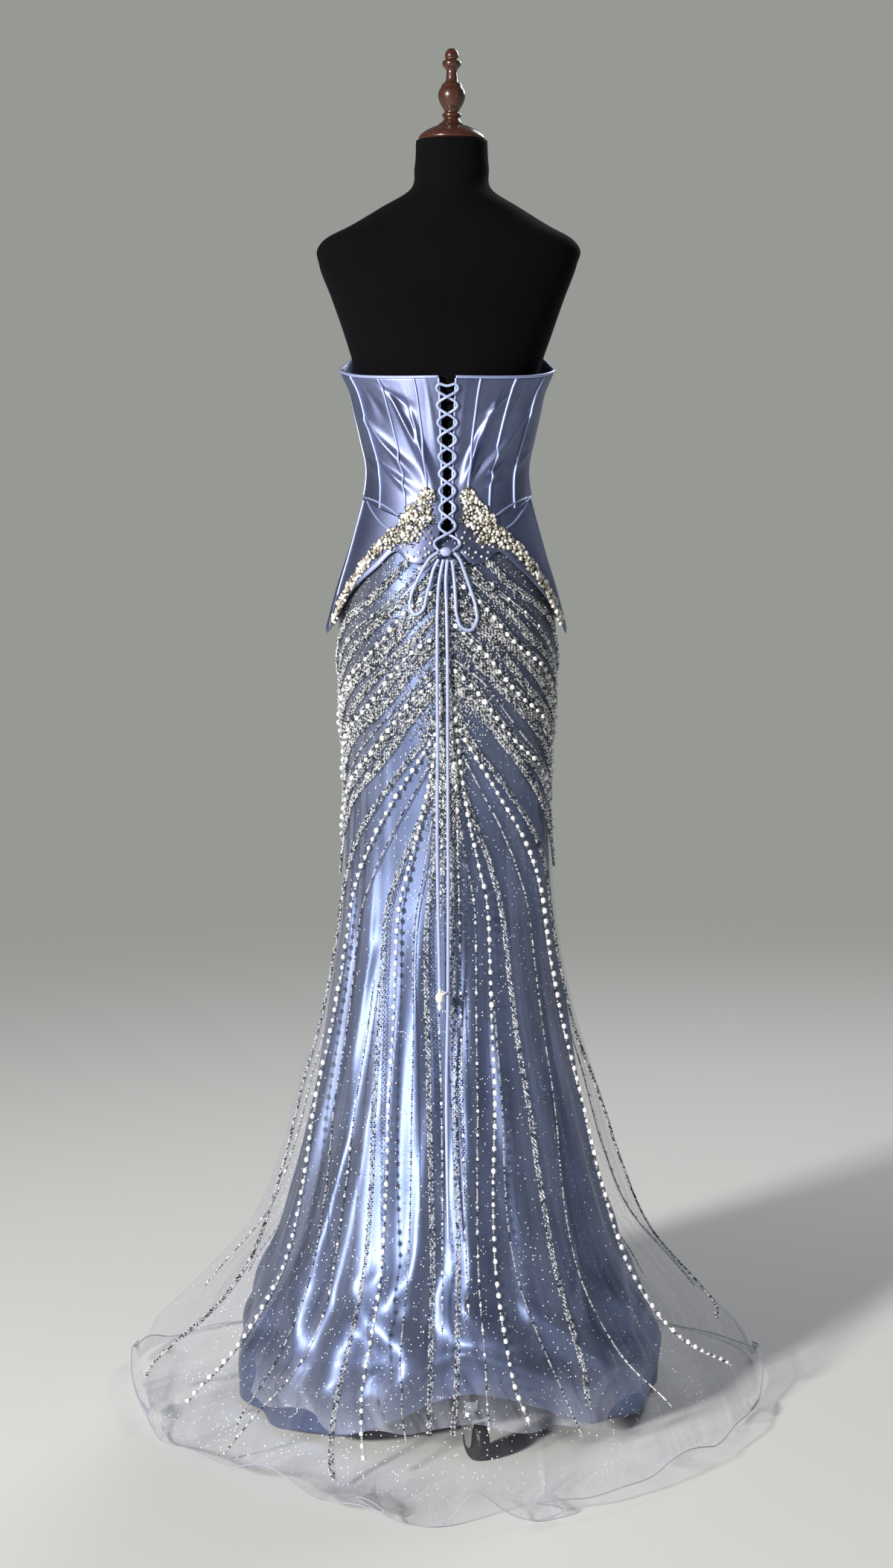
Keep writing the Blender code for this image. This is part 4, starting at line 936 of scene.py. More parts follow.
# ---- Net underlay ----
# A shorter layer of the same net below the satin's hem at the back. Its edge falls in an
# uneven line in front of the caster.
NET_GREY = "#b7b9c8"
UNDERLAY_LIFT = 0.040
UNDERLAY_OFF = 0.003
UNDERLAY_FLARE_TOP = 0.42
UNDERLAY_FLARE_BACK = 0.040
UNDERLAY_FLARE_SIDE = 0.020
UNDERLAY_HALF_ANGLE = 56
UNDERLAY_GAP = 0.001
UNDERLAY_GAP_GROWTH = 0.010


def underlay_surface(theta, row):
    """The satin's first rows moved out and up, so that they clear the caster. The layer
    follows the satin's relief, and stays between the satin and the net."""
    sizes = skirt_sizes(SATIN_SKIRT, row)
    drop = np.clip(1 - sizes["z"] / UNDERLAY_FLARE_TOP, 0, 1) ** 1.5
    depth = satin_relief(theta, sizes["z"], sizes["half_width"])
    depth = depth + 0.004 * np.sin(23 * theta + 9 * sizes["z"]) * drop
    wave = 0.007 * np.sin(7 * theta + 0.8) + 0.004 * np.sin(17 * theta)
    near_hem = np.clip(1 - sizes["z"] / 0.15, 0, 1)
    sizes["y_back"] = sizes["y_back"] - UNDERLAY_OFF - UNDERLAY_FLARE_BACK * drop
    sizes["half_width"] = sizes["half_width"] + UNDERLAY_OFF + UNDERLAY_FLARE_SIDE * drop
    growth = fold_growth(sizes["z"])
    sizes["z"] = sizes["z"] + (UNDERLAY_LIFT + wave) * near_hem
    surface = oval(theta, **sizes) + outward(theta) * depth[..., None]
    return clear_of_net(surface, theta, UNDERLAY_GAP + UNDERLAY_GAP_GROWTH * growth)


# Silk tulle: a six-sided net too fine to see, so it shows as a haze. It is thicker where
# it gathers into upright pleats, and it carries specks of glitter about 1 mm across,
# painted near white whichever way they face: a painted glint for their sparkle. The
# "silver" attribute is where grey silk thread fills it; "sheer" is where it thins to nothing.
def tulle(name, haze, pleats, glitter):
    """Sheer net: how solid it is, how much more in its pleats, and the share of glitter."""
    made, tree, shader = new_material(name)
    along_cloth = coordinates(tree, "UV")
    silver, sheer = (add(tree, "ShaderNodeAttribute", {"attribute_name": kind}).outputs["Fac"]
                     for kind in ("silver", "sheer"))
    streaks = clouds(tree, stretched(tree, along_cloth, 95.0, 1.6, 1.0), 1.0, 3.0, Roughness=0.6)
    cover = rescaled(tree, streaks, haze, haze + pleats, **{"From Min": 0.35, "From Max": 0.70})
    doubled = clouds(tree, stretched(tree, along_cloth, 15.0, 1.1, 1.0), 1.0, 1.0)
    overlap = rescaled(tree, doubled, 0.0, 0.15, **{"From Min": 0.52, "From Max": 0.56})
    cover = maths(tree, "ADD", cover, overlap)
    cover = maths(tree, "MULTIPLY_ADD", silver, 0.42, cover)
    cover = maths(tree, "MULTIPLY", cover,
                  maths(tree, "SUBTRACT", 1.0, sheer, use_clamp=True))
    specks = add(tree, "ShaderNodeTexVoronoi", {"feature": "F1"},
                 {"Vector": coordinates(tree), "Scale": 330.0})
    draw = add(tree, "ShaderNodeSeparateColor", None, {0: specks.outputs["Color"]}).outputs[0]
    painted_glint = maths(tree, "MULTIPLY",
                  maths(tree, "LESS_THAN", specks.outputs["Distance"], 0.24),
                  maths(tree, "LESS_THAN", draw,
                        maths(tree, "MULTIPLY_ADD", silver, 0.30, glitter)))
    thread = two_tones(tree, silver, paint(NET_GREY), paint("#70727a"))
    put(tree, shader, {"Base Color": two_tones(tree, painted_glint, thread, paint("#f4f6ff")),
                       "Alpha": maths(tree, "MAXIMUM", cover, painted_glint),
                       "Roughness": 0.5, "Sheen Weight": 0.3, "Specular IOR Level": 0.3})
    return made


def tube(points, radii, sides, flat=1.0, face=None):
    """Points and faces of a closed tube along a path. Face is the path's outward direction,
    and flat squeezes the tube towards its cloth."""
    ahead = np.gradient(points, axis=0)
    ahead /= np.linalg.norm(ahead, axis=1, keepdims=True)
    face = outward(np.arctan2(points[:, 0], POLE_Y - points[:, 1])) if face is None else face
    side = np.cross(ahead, face)
    side /= np.linalg.norm(side, axis=1, keepdims=True)
    up = np.cross(side, ahead)
    turn = ring_angles(sides)
    radii = np.broadcast_to(radii, (len(points),))[:, None, None]
    rings = points[:, None] + radii * (np.cos(turn)[None, :, None] * side[:, None]
                                       + flat * np.sin(turn)[None, :, None] * up[:, None])
    return (np.concatenate([rings.reshape(-1, 3), points[[0, -1]]]),
            closed_faces(len(points), sides))


def join_tubes(name, tubes, finish):
    """Several tubes as one mesh."""
    points, faces, count = [], [], 0
    for tube_points, groups in tubes:
        faces += [group + count for group in groups]
        points.append(tube_points)
        count += len(tube_points)
    return fill_mesh(name, np.concatenate(points), faces, finish)


def mark(piece, name, amounts):
    """Stores an amount between 0 and 1 at each point, for the net's finish to read."""
    column = piece.data.attributes.new(name, "FLOAT", "POINT")
    column.data.foreach_set("value", np.clip(amounts, 0, 1).astype(np.float32).ravel())


underlay_net = tulle("underlay_tulle", 0.22, 0.22, 0.05)
underlay_turn = np.radians(np.linspace(-UNDERLAY_HALF_ANGLE, UNDERLAY_HALF_ANGLE, 170))
underlay_rows = np.linspace(0, 5, 62)
underlay_points = underlay_surface(*np.meshgrid(underlay_turn, underlay_rows))
underlay = cloth("net_underlay", underlay_points, underlay_net)
underlay_z = underlay_points[..., 2]
mark(underlay, "silver", 0 * underlay_z)
mark(underlay, "sheer", 0.92 * np.clip((underlay_z - 0.050) / 0.07, 0, 1))
settle(underlay, "net", "net_underlay_back")


# ---- Corset ----
# Eleven panels of the same satin over a boned lining, shaped by their seams alone. Flame
# shaped tucks fan up from the pearls, where the cloth is drawn in towards the waist.
SEAM_GAP = 0.0006
PANEL_WALL = 0.0016
PANEL_INSET = 0.0025
SEAM_PIPING = 0.0016
SEAM_PIPING_OUT = 0.0006
BINDING = 0.0021
BINDING_RISE = 0.0016
# Angle of each seam from the centre back, where the first one is the laced edge.
CORSET_SEAMS = sections("waist top", [
    (3.2, 4.7), (12, 18.5), (27, 41), (50, 66), (92, 100), (150, 153)])
CORSET_PANELS = ["centre_back", "back", "side_back", "side", "cup"]
WAIST_EDGE = sections("angle z", [
    (0, 1.176), (20, 1.180), (45, 1.194), (75, 1.211), (110, 1.212), (150, 1.204), (180, 1.202)])
TOP_EDGE = sections("angle z", [
    (0, 1.3675), (30, 1.3675), (60, 1.371), (80, 1.377), (105, 1.386),
    (130, 1.408), (150, 1.412), (168, 1.392), (180, 1.380)])
# Tucks on one side: angle and height of the middle, tilt from upright, reach along and
# across, and how far it stands out. The other side's differ a little.
RIGHT_TUCKS = sections("angle z tilt long wide height", [
    (20.5, 1.286, 17, 0.044, 0.0046, 0.0074), (29.5, 1.330, 40, 0.019, 0.0034, 0.0050),
    (15.5, 1.256, 11, 0.028, 0.0036, 0.0056), (34.0, 1.266, 34, 0.044, 0.0046, 0.0076),
    (30.0, 1.236, 44, 0.022, 0.0036, 0.0050), (50.0, 1.300, 40, 0.030, 0.0070, 0.0024),
    (66.0, 1.262, 62, 0.024, 0.0060, 0.0016), (8.5, 1.300, 4, 0.045, 0.0040, 0.0012),
    (44.0, 1.335, 24, 0.022, 0.0060, -0.0016), (58.0, 1.345, 20, 0.020, 0.0060, -0.0012)])
LEFT_TUCKS = sections("angle z tilt long wide height", [
    (-23.0, 1.292, -22, 0.046, 0.0048, 0.0066), (-30.5, 1.340, -46, 0.018, 0.0044, -0.0052),
    (-16.0, 1.270, -12, 0.046, 0.0038, 0.0048), (-38.0, 1.268, -40, 0.036, 0.0052, 0.0070),
    (-37.0, 1.236, -52, 0.028, 0.0042, 0.0056), (-52.0, 1.296, -42, 0.030, 0.0066, 0.0036),
    (-64.0, 1.250, -60, 0.022, 0.0060, 0.0018), (-9.0, 1.306, -5, 0.045, 0.0040, 0.0014),
    (-47.0, 1.330, -28, 0.022, 0.0060, -0.0018), (-60.0, 1.342, -24, 0.018, 0.0060, -0.0012)])
FRONT_TUCKS = sections("angle z tilt long wide height", [
    (168, 1.255, -14, 0.030, 0.0050, 0.0016), (-168, 1.255, 14, 0.030, 0.0050, 0.0016),
    (140, 1.262, 16, 0.026, 0.0060, 0.0018), (-140, 1.262, -16, 0.026, 0.0060, 0.0018),
    (118, 1.290, -24, 0.026, 0.0060, 0.0014), (-118, 1.290, 24, 0.026, 0.0060, 0.0014)])


# The radius that turns a tuck's angles into metres.
TUCK_RADIUS = 0.098


def corset_skin(theta, z):
    """The corset's surface with its tucks pressed into it."""
    relief = sum(kinks_at(table, theta, z, TUCK_RADIUS) for table in
                 (RIGHT_TUCKS, LEFT_TUCKS, FRONT_TUCKS))
    return corset_surface(theta, z) + outward(theta) * relief[..., None]


def edge_height(edge, theta):
    """Height of an edge that is the same on both sides of the gown."""
    return smooth(np.radians(edge["angle"]), edge["z"], np.abs(turn_past(theta, 0)))


def corset_point(theta, part):
    """Part 0 is the waist edge and part 1 the top edge."""
    low_edge = edge_height(WAIST_EDGE, theta) + SEAM_GAP / 2
    return corset_skin(theta, low_edge + (edge_height(TOP_EDGE, theta) - low_edge) * part)


def seam_angle(seam, part):
    """A seam leans in towards the lacing as it goes down, as the 0.85th power of part."""
    waist, top = CORSET_SEAMS["waist"][seam], CORSET_SEAMS["top"][seam]
    return np.radians(waist + (top - waist) * part ** 0.85)


def between(left, right, columns):
    """Angles of a grid between two edges, which may both lean."""
    return left[:, None] + (right - left)[:, None] * np.linspace(0, 1, columns)[None, :]


corset_satin = satin_cloth("corset_satin", "#2c3558", "#8890b6", 0.44, stretch=0.30)
# The piping and the binding are the corset's satin, painted paler and less metallic so that they
# show as lit lines all along: a painted highlight.
piping_satin_painted_highlight = satin_cloth("piping_satin_painted_highlight", "#8393cb", "#b4c2ea", 0.45, metal=0.50)
panel_part = np.linspace(0, 1, 84)
panel_edges = {}
for index, panel in enumerate(CORSET_PANELS):
    near, far = seam_angle(index, panel_part), seam_angle(index + 1, panel_part)
    panel_edges[f"corset_{panel}_right"] = (near, far)
    panel_edges[f"corset_{panel}_left"] = (-far, -near)
front_seam = seam_angle(len(CORSET_PANELS), panel_part)
panel_edges["corset_centre_front"] = (front_seam, 2 * math.pi - front_seam)
for node, (near, far) in panel_edges.items():
    columns = 12 + int(36 * (far - near).max())
    theta = between(near + PANEL_INSET, far - PANEL_INSET, columns)
    panel_points = corset_point(theta, np.repeat(panel_part[:, None], columns, axis=1))
    panel = cloth(node.replace("corset_", "panel_"), panel_points, corset_satin, PANEL_WALL)
    settle(panel, "satin", node)

# Piped seams: a cord in a satin bias strip is caught in every seam between panels, and
# along each laced edge. Its middle line lies just outside the panels.
piping = []
for seam in range(len(CORSET_SEAMS["waist"])):
    for side in (1, -1):
        angles = side * seam_angle(seam, panel_part)
        line = corset_point(angles, panel_part) + outward(angles) * SEAM_PIPING_OUT
        piping.append(tube(line, SEAM_PIPING, 8))
settle(join_tubes("corset_piping", piping, piping_satin_painted_highlight), "satin")

# Top binding: a bias strip folded over the top edge from lacing to lacing.
laced_edge = seam_angle(0, np.array(1.0))
binding_angle = np.linspace(laced_edge, 2 * math.pi - laced_edge, 420)
binding_line = corset_skin(binding_angle, edge_height(TOP_EDGE, binding_angle) + BINDING_RISE)
binding_line = binding_line - outward(binding_angle) * PANEL_WALL / 2
binding = join_tubes("satin_binding", [tube(binding_line, BINDING, 10)], piping_satin_painted_highlight)
settle(binding, "satin", "top_binding")


# ---- Peplum ----
# Three shaped pieces of the corset's satin, sewn under its waist. The scalloped hem turns
# under, and piped lines run from the pearls to the side waist.
HEM_TURN = 0.010
HEM_TURN_DEPTH = 0.0026
PEPLUM_WAVE = 0.0014
PEPLUM_INSET = 0.002
PEPLUM_PIPING = 0.0014
WAIST_PIPING = 0.0010
PIPING_OUT = 0.0004
PEPLUM_HEM = sections("angle z", [
    (7, 1.1385), (11, 1.1290), (16, 1.1250), (22, 1.1275), (31, 1.1405), (43, 1.119),
    (55, 1.096), (68, 1.066), (84, 1.031), (100, 1.038), (125, 1.072), (155, 1.103),
    (180, 1.110)])


def peplum_point(theta, part):
    """Part 0 is the hem and 1 the waist seam. The cloth just above the hem curls under, as
    the square of the way down, and waves softly below the waist."""
    low_edge = edge_height(PEPLUM_HEM, theta)
    high_edge = edge_height(WAIST_EDGE, theta) - SEAM_GAP / 2
    z = low_edge + (high_edge - low_edge) * part
    turned_under = np.clip(1 - (z - low_edge) / HEM_TURN, 0, 1) ** 2 * HEM_TURN_DEPTH
    soft = PEPLUM_WAVE * (1 + np.sin(11 * theta)) * np.clip((1.19 - z) / 0.10, 0, 1)
    return corset_skin(theta, z) + outward(theta) * (soft - turned_under)[..., None]


peplum_part = np.linspace(0, 1, 56)
hem_angle, waist_angle = OPENING["angle"][:2]
opening_edge = np.radians(hem_angle + (waist_angle - hem_angle) * peplum_part)
side_edge = np.full(len(peplum_part), math.radians(80))
PEPLUM_EDGES = {"peplum_back_right": (opening_edge, side_edge, 104),
                "peplum_back_left": (-side_edge, -opening_edge, 104),
                "peplum_front": (side_edge, 2 * math.pi - side_edge, 180)}
for node, (near, far, columns) in PEPLUM_EDGES.items():
    theta = between(near + PEPLUM_INSET, far - PEPLUM_INSET, columns)
    peplum_points = peplum_point(theta, np.repeat(peplum_part[:, None], columns, axis=1))
    peplum = cloth(node + "_satin", peplum_points, corset_satin, PANEL_WALL)
    settle(peplum, "satin", node)

PIPED_LINES = {
    "waist": sections("angle z", [(70, 1.2110), (55, 1.2060), (42, 1.1975), (33, 1.1880)]),
    "slant": sections("angle z", [(69, 1.2060), (58, 1.1930), (46, 1.1780), (38, 1.1700)]),
    "side": sections("angle z", [(80, 1.2080), (80, 1.1800), (79, 1.1300), (79, 1.0800)])}
row, step = np.arange(4.0), np.linspace(0, 3, 60)
lines = []
for table in PIPED_LINES.values():
    angles, heights = np.radians(smooth(row, table["angle"], step)), smooth(row, table["z"], step)
    for turn in (angles, -angles):
        lines.append(tube(corset_skin(turn, heights) + outward(turn) * PIPING_OUT,
                          PEPLUM_PIPING, 8))
# A finer cord runs round the front of the waist.
WAIST_CORD_FROM = math.radians(72)
waist_turn = np.linspace(WAIST_CORD_FROM, 2 * math.pi - WAIST_CORD_FROM, 220)
waist_line = corset_skin(waist_turn, edge_height(WAIST_EDGE, waist_turn))
lines.append(tube(waist_line + outward(waist_turn) * PIPING_OUT, WAIST_PIPING, 8))
settle(join_tubes("peplum_piping", lines, piping_satin_painted_highlight), "satin")


# ---- Pearl band and applique ----
# Cream glass pearls and flat-sided gold seeds sewn close together on the peplum: a leaf
# beside each laced edge, which narrows to a band along the hem out to its point.
BAND_RADIUS = 0.130
BAND_WAVER = 0.22
STRAY_ACROSS = 0.16
STRAY_ALONG = 0.20
PEARL_SPACING = 0.0047
PEARL_LIFT = 0.0006
PEARL_SIZES = sections("radius share", [
    (0.0019, 0.3), (0.0023, 0.34), (0.0028, 0.24), (0.0033, 0.12)])
TAB_PEARL = 0.0019
GOLD_SPACING = 0.0026
GOLD_LIFT = 0.0004
GOLD_RADII = (0.0010, 0.0016)
GOLD_HEAP = 0.0016
PEARL_BAND = sections("x z half_width", [
    (0.022, 1.222, 0.0060), (0.030, 1.204, 0.0140), (0.043, 1.178, 0.0210),
    (0.062, 1.163, 0.0140), (0.084, 1.150, 0.0080), (0.103, 1.129, 0.0070),
    (0.121, 1.104, 0.0070), (0.137, 1.076, 0.0070), (0.150, 1.045, 0.0060)])


def beaded_satin(name, tones, metal, gloss):
    """Bead finish between tones by a value kept per bead, its metal share and roughness. For
    the seeds the tones are painted highlight and painted shade.
    """
    made, tree, shader = new_material(name)
    shade = add(tree, "ShaderNodeAttribute", {"attribute_name": "shade"})
    colours = add(tree, "ShaderNodeValToRGB", None, {0: shade.outputs["Fac"]})
    colours.color_ramp.interpolation = "CONSTANT"
    steps = colours.color_ramp.elements
    steps[0].color = paint(tones[0])
    steps[1].position = 1 / len(tones)
    steps[1].color = paint(tones[1])
    for n, code in enumerate(tones[2:], start=2):
        steps.new(n / len(tones)).color = paint(code)
    film = clouds(tree, coordinates(tree), 700.0, 1.0)
    put(tree, shader, {"Base Color": colours.outputs[0], "Metallic": metal,
                       "Roughness": rescaled(tree, film, gloss * 0.7, gloss * 1.4),
                       "Specular IOR Level": 0.8})
    return made


# Glass pearls: a glass core under a pearl film, so they are cream with a sharp white point
# of light. Gold seeds are glass over a metal lining, so each flat side is bright or dark.
# Here each seed is painted one tone at random, pale to near black: painted highlight and
# painted shade, which also darkens the gaps between the pearls.
applique_pearls = beaded_satin("glass_pearls", [
    "#cbc5b7", "#ece8dd", "#fbf9f4", "#a59e8e"], 0.0, 0.16)
gold_seeds_painted_light = beaded_satin("gold_seed_beads_painted_light", [
    "#6d6350", "#a1967b", "#d2cab4", "#443d30"], 0.70, 0.26)


def band_spots(step, edge_share, chance):
    """Spots about a step apart along and across the band, each moved a little at random.
    Across it, a spot stays within edge_share of the band's half width."""
    width = smooth(CORSET["z"], CORSET["half_width"], PEARL_BAND["z"])
    line = spline_through(np.stack([BAND_RADIUS * np.arcsin(PEARL_BAND["x"] / width),
                                    0 * PEARL_BAND["x"], PEARL_BAND["z"]], axis=-1), 400)
    run = run_of(line)
    spots_u, spots_z = [], []
    for place in np.arange(0, run[-1], step):
        k = int(np.searchsorted(run, place).clip(1, 398))
        ahead = (line[k + 1] - line[k - 1])[[0, 2]]
        ahead /= np.linalg.norm(ahead)
        wide = float(np.interp(line[k, 2], PEARL_BAND["z"][::-1],
                               PEARL_BAND["half_width"][::-1])) * edge_share
        wide *= 1 + BAND_WAVER * math.sin(place * 230)
        across = np.arange(-wide, wide + step * 0.4, step)
        across = across + chance.normal(0, step * STRAY_ACROSS, len(across))
        along = chance.normal(0, step * STRAY_ALONG, len(across))
        spots_u.append(line[k, 0] + ahead[0] * along + ahead[1] * across)
        spots_z.append(line[k, 2] + ahead[1] * along - ahead[0] * across)
    return np.concatenate(spots_u), np.concatenate(spots_z)


# The tab between the leaf and the lacing has single pearls, set well apart.
TAB_PEARLS = sections("angle z", [
    (10.5, 1.1660), (13.5, 1.1580), (9.8, 1.1520), (17.5, 1.1540), (12.6, 1.1450), (20.5, 1.1470),
    (16.2, 1.1400), (10.2, 1.1400), (23.5, 1.1400), (19.3, 1.1345), (14.2, 1.1330), (24.8, 1.1500),
    (21.6, 1.1570), (16.4, 1.1640), (8.8, 1.1590), (27.0, 1.1470), (22.3, 1.1320), (12.0, 1.1370)])
small_ball, tiny_ball = ball(3, 6), ball(1, 5)
for side, hand in ((1, "right"), (-1, "left")):
    chance = np.random.default_rng(17 + side)
    u, z = band_spots(PEARL_SPACING, 0.92, chance)
    theta = np.append(side * u / BAND_RADIUS, side * np.radians(TAB_PEARLS["angle"]))
    z = np.append(z, TAB_PEARLS["z"])
    sizes = chance.choice(PEARL_SIZES["radius"], len(z), p=PEARL_SIZES["share"])
    sizes[len(u):] = TAB_PEARL
    spots = corset_skin(theta, z) + outward(theta) * (PEARL_LIFT + sizes * 0.85)[:, None]
    pearls = strew(f"applique_pearls_{hand}", small_ball, spots, sizes, applique_pearls,
                   shades=chance.random(len(z)))
    settle(pearls, "pearl", f"pearl_band_{hand}")
    u, z = band_spots(GOLD_SPACING, 1.12, chance)
    theta = side * u / BAND_RADIUS
    sizes = chance.uniform(*GOLD_RADII, len(u))
    height = GOLD_LIFT + sizes + chance.uniform(0, GOLD_HEAP, len(u))
    spots = corset_skin(theta, z) + outward(theta) * height[:, None]
    seeds = strew(f"applique_seeds_{hand}", tiny_ball, spots, sizes, gold_seeds_painted_light,
                  shades=chance.random(len(u)), rounded=False)
    settle(seeds, "pearl")


# ---- Net overskirt ----
# Seven gores of sheer silk net over the satin, sewn in at the waist and longer at the back,
# where they spread into a train. The train folds over itself where it meets the floor.
TRAIN_FOLDS = sections("angle spread shift lift", [
    (-92, 8.0, 12.0, 0.020), (-66, 7.0, 11.0, 0.016), (-12, 5.5, 8.5, 0.014),
    (16, 5.5, 8.5, 0.016), (68, 7.0, 11.0, 0.016), (96, 8.0, 12.0, 0.018)])
TRAIN_ARCHES = sections("angle spread height", [
    (-30, 9.0, 0.042), (-49, 5.0, 0.018), (4, 2.8, 0.030), (42, 10.0, 0.034), (-78, 6.0, 0.026),
    (23, 3.5, 0.012), (60, 4.5, 0.016), (84, 7.0, 0.024), (-104, 8.0, 0.018)])
NET_PLEATS = sections("angle spread height", [
    (-80, 3.0, 0.007), (-57, 2.6, 0.006), (-46, 2.2, 0.006), (-32, 2.4, -0.006),
    (-22, 2.4, 0.006), (-4, 2.2, 0.006), (2, 1.8, -0.005), (17, 2.2, 0.006),
    (25, 2.0, -0.006), (42, 2.4, 0.006), (50, 2.2, -0.006), (66, 2.8, 0.007),
    (75, 2.4, -0.006), (98, 3.0, 0.007), (127, 3.0, 0.006), (157, 3.0, 0.006),
    (-113, 3.0, 0.006), (-143, 3.0, 0.006), (-172, 3.0, 0.005)])


# How many rows up from the hem the folds and the arches reach, and the least height.
FOLD_ROWS = 3.6
LIFT_ROWS = 3.2
ARCH_ROWS = 2.8
ON_FLOOR = 0.0006


def net_drape(theta, row):
    """The net with its folds. A train fold slides the cloth sideways by the slope of a bell
    curve, far enough that it doubles back over itself, and lifts the doubled part."""
    near_floor = np.clip(1 - row / FOLD_ROWS, 0, 1) ** 0.8
    slid, raised = 0 * theta, 0 * theta
    for angle, spread, shift, lift in zip(*TRAIN_FOLDS.values()):
        place = turn_past(theta, math.radians(angle)) / math.radians(spread)
        bell = np.exp(-place ** 2)
        slid = slid - math.radians(shift) * place * bell * 1.5
        raised = raised + lift * bell * (1 + 0.6 * place)
    surface = net_surface(theta + slid * near_floor, row)
    pleats = folds_at(NET_PLEATS, theta) * np.clip(row / 2, 0, 1)
    growth = fold_growth(surface[..., 2] - 0.05)
    surface = surface + outward(theta) * (pleats * growth)[..., None]
    rise = raised * near_floor * np.clip(1.3 - row / LIFT_ROWS, 0, 1)
    arches = folds_at(TRAIN_ARCHES, theta) * np.clip(1 - row / ARCH_ROWS, 0, 1) ** 1.2
    ripple = 0.0014 * (1 + np.sin(17 * theta + 2 * np.sin(5 * theta))) * np.clip(1 - row, 0, 1)
    surface[..., 2] = np.maximum(surface[..., 2] + rise + arches + ripple, ON_FLOOR)
    return surface


net_finish = tulle("silk_tulle", 0.075, 0.20, 0.12)
net_rows = np.concatenate([np.linspace(0, 4, 82)[:-1], np.linspace(4, 15, 60)])
net_turn = np.linspace(0, 2 * math.pi, 560, endpoint=False)
net_theta, net_row = np.meshgrid(net_turn, net_rows)
net_points = net_drape(net_theta, net_row)
net_z = net_points[..., 2]
overskirt = cloth("net_overskirt", net_points, net_finish, round_it=True)
from_back = np.abs(turn_past(net_theta, 0))
# Silver thread fills the net over the hips, down the centre back and in one train fold.
hips_silver = np.clip((net_z - 0.82) / 0.17, 0, 1) * (0.9 - 0.5 * np.clip(from_back - 1.2, 0, 1))
centre_silver = (np.clip((net_z - 0.42) / 0.40, 0, 1) * np.clip((1.10 - net_z) / 0.05, 0, 1)
                 * np.exp(-(from_back / 0.22) ** 2))
train_silver = 0.5 * bump(net_theta, math.radians(-15), 0.14) * np.clip(1 - net_z / 0.14, 0, 1)
mark(overskirt, "silver", np.maximum(hips_silver, np.maximum(centre_silver, train_silver)))
mark(overskirt, "sheer", (0.16 + 0.70 * np.exp(-(from_back / 0.95) ** 2))
     * np.clip((net_z - 0.004) / 0.030, 0, 1))
settle(overskirt, "net", *gores("net"))

# The net's edge is cut and rolled by machine into a cord less than 2 mm thick.
HEM_ROLL = 0.0008
hem_line = net_drape(np.linspace(0, 2 * math.pi, 900), np.zeros(900)) + (0, 0, HEM_ROLL / 2)
net_hem = join_tubes("net_rolled_hem", [tube(hem_line, HEM_ROLL, 6)],
                     tulle("rolled_net_edge", 0.55, 0.2, 0.0))
settle(net_hem, "net")


# ---- Bead strands ----
# Threaded beads sewn to the net in lines that fan from the centre back: glass pearls with
# seeds between, twisted ropes of silver-lined seeds, and single fine lines of seeds.
SEED_STEP = 0.0029
SEED_RADIUS = 0.00150
PEARL_STEP = 0.0140
PEARL_RADII = (0.0027, 0.0039)
SMALL_PEARL_STEP = 0.030
SMALL_PEARL_RADII = (0.0019, 0.0024)
ROPE_HALF_WIDTH = 0.0028
ROPE_TWIST = 0.016
ROPE_LIFT = 0.0006
BEAD_LIFT = 0.0003
# Kinds of line: 0 single seeds, 1 rope, 2 pearls with seeds, 3 seeds with small pearls.
# Feathers leave the centre back one under another and sweep round the hips. This is how
# far down each has come at each angle, then where each starts, its steepness and kind.
FEATHER_SWEEP = sections("angle drop", [
    (3, 0.000), (12, 0.018), (19, 0.034), (31, 0.066), (42, 0.091), (56, 0.116),
    (71, 0.148), (84, 0.190), (98, 0.232)])
FEATHERS = sections("start steep kind", [
    (1.168, 0.90, 1), (1.146, 0.94, 3), (1.124, 0.96, 1), (1.103, 1.00, 2), (1.083, 1.00, 1),
    (1.063, 1.04, 1), (1.042, 1.00, 2), (1.022, 1.04, 1), (1.002, 1.06, 0), (0.984, 1.06, 2),
    (0.968, 1.20, 1)])
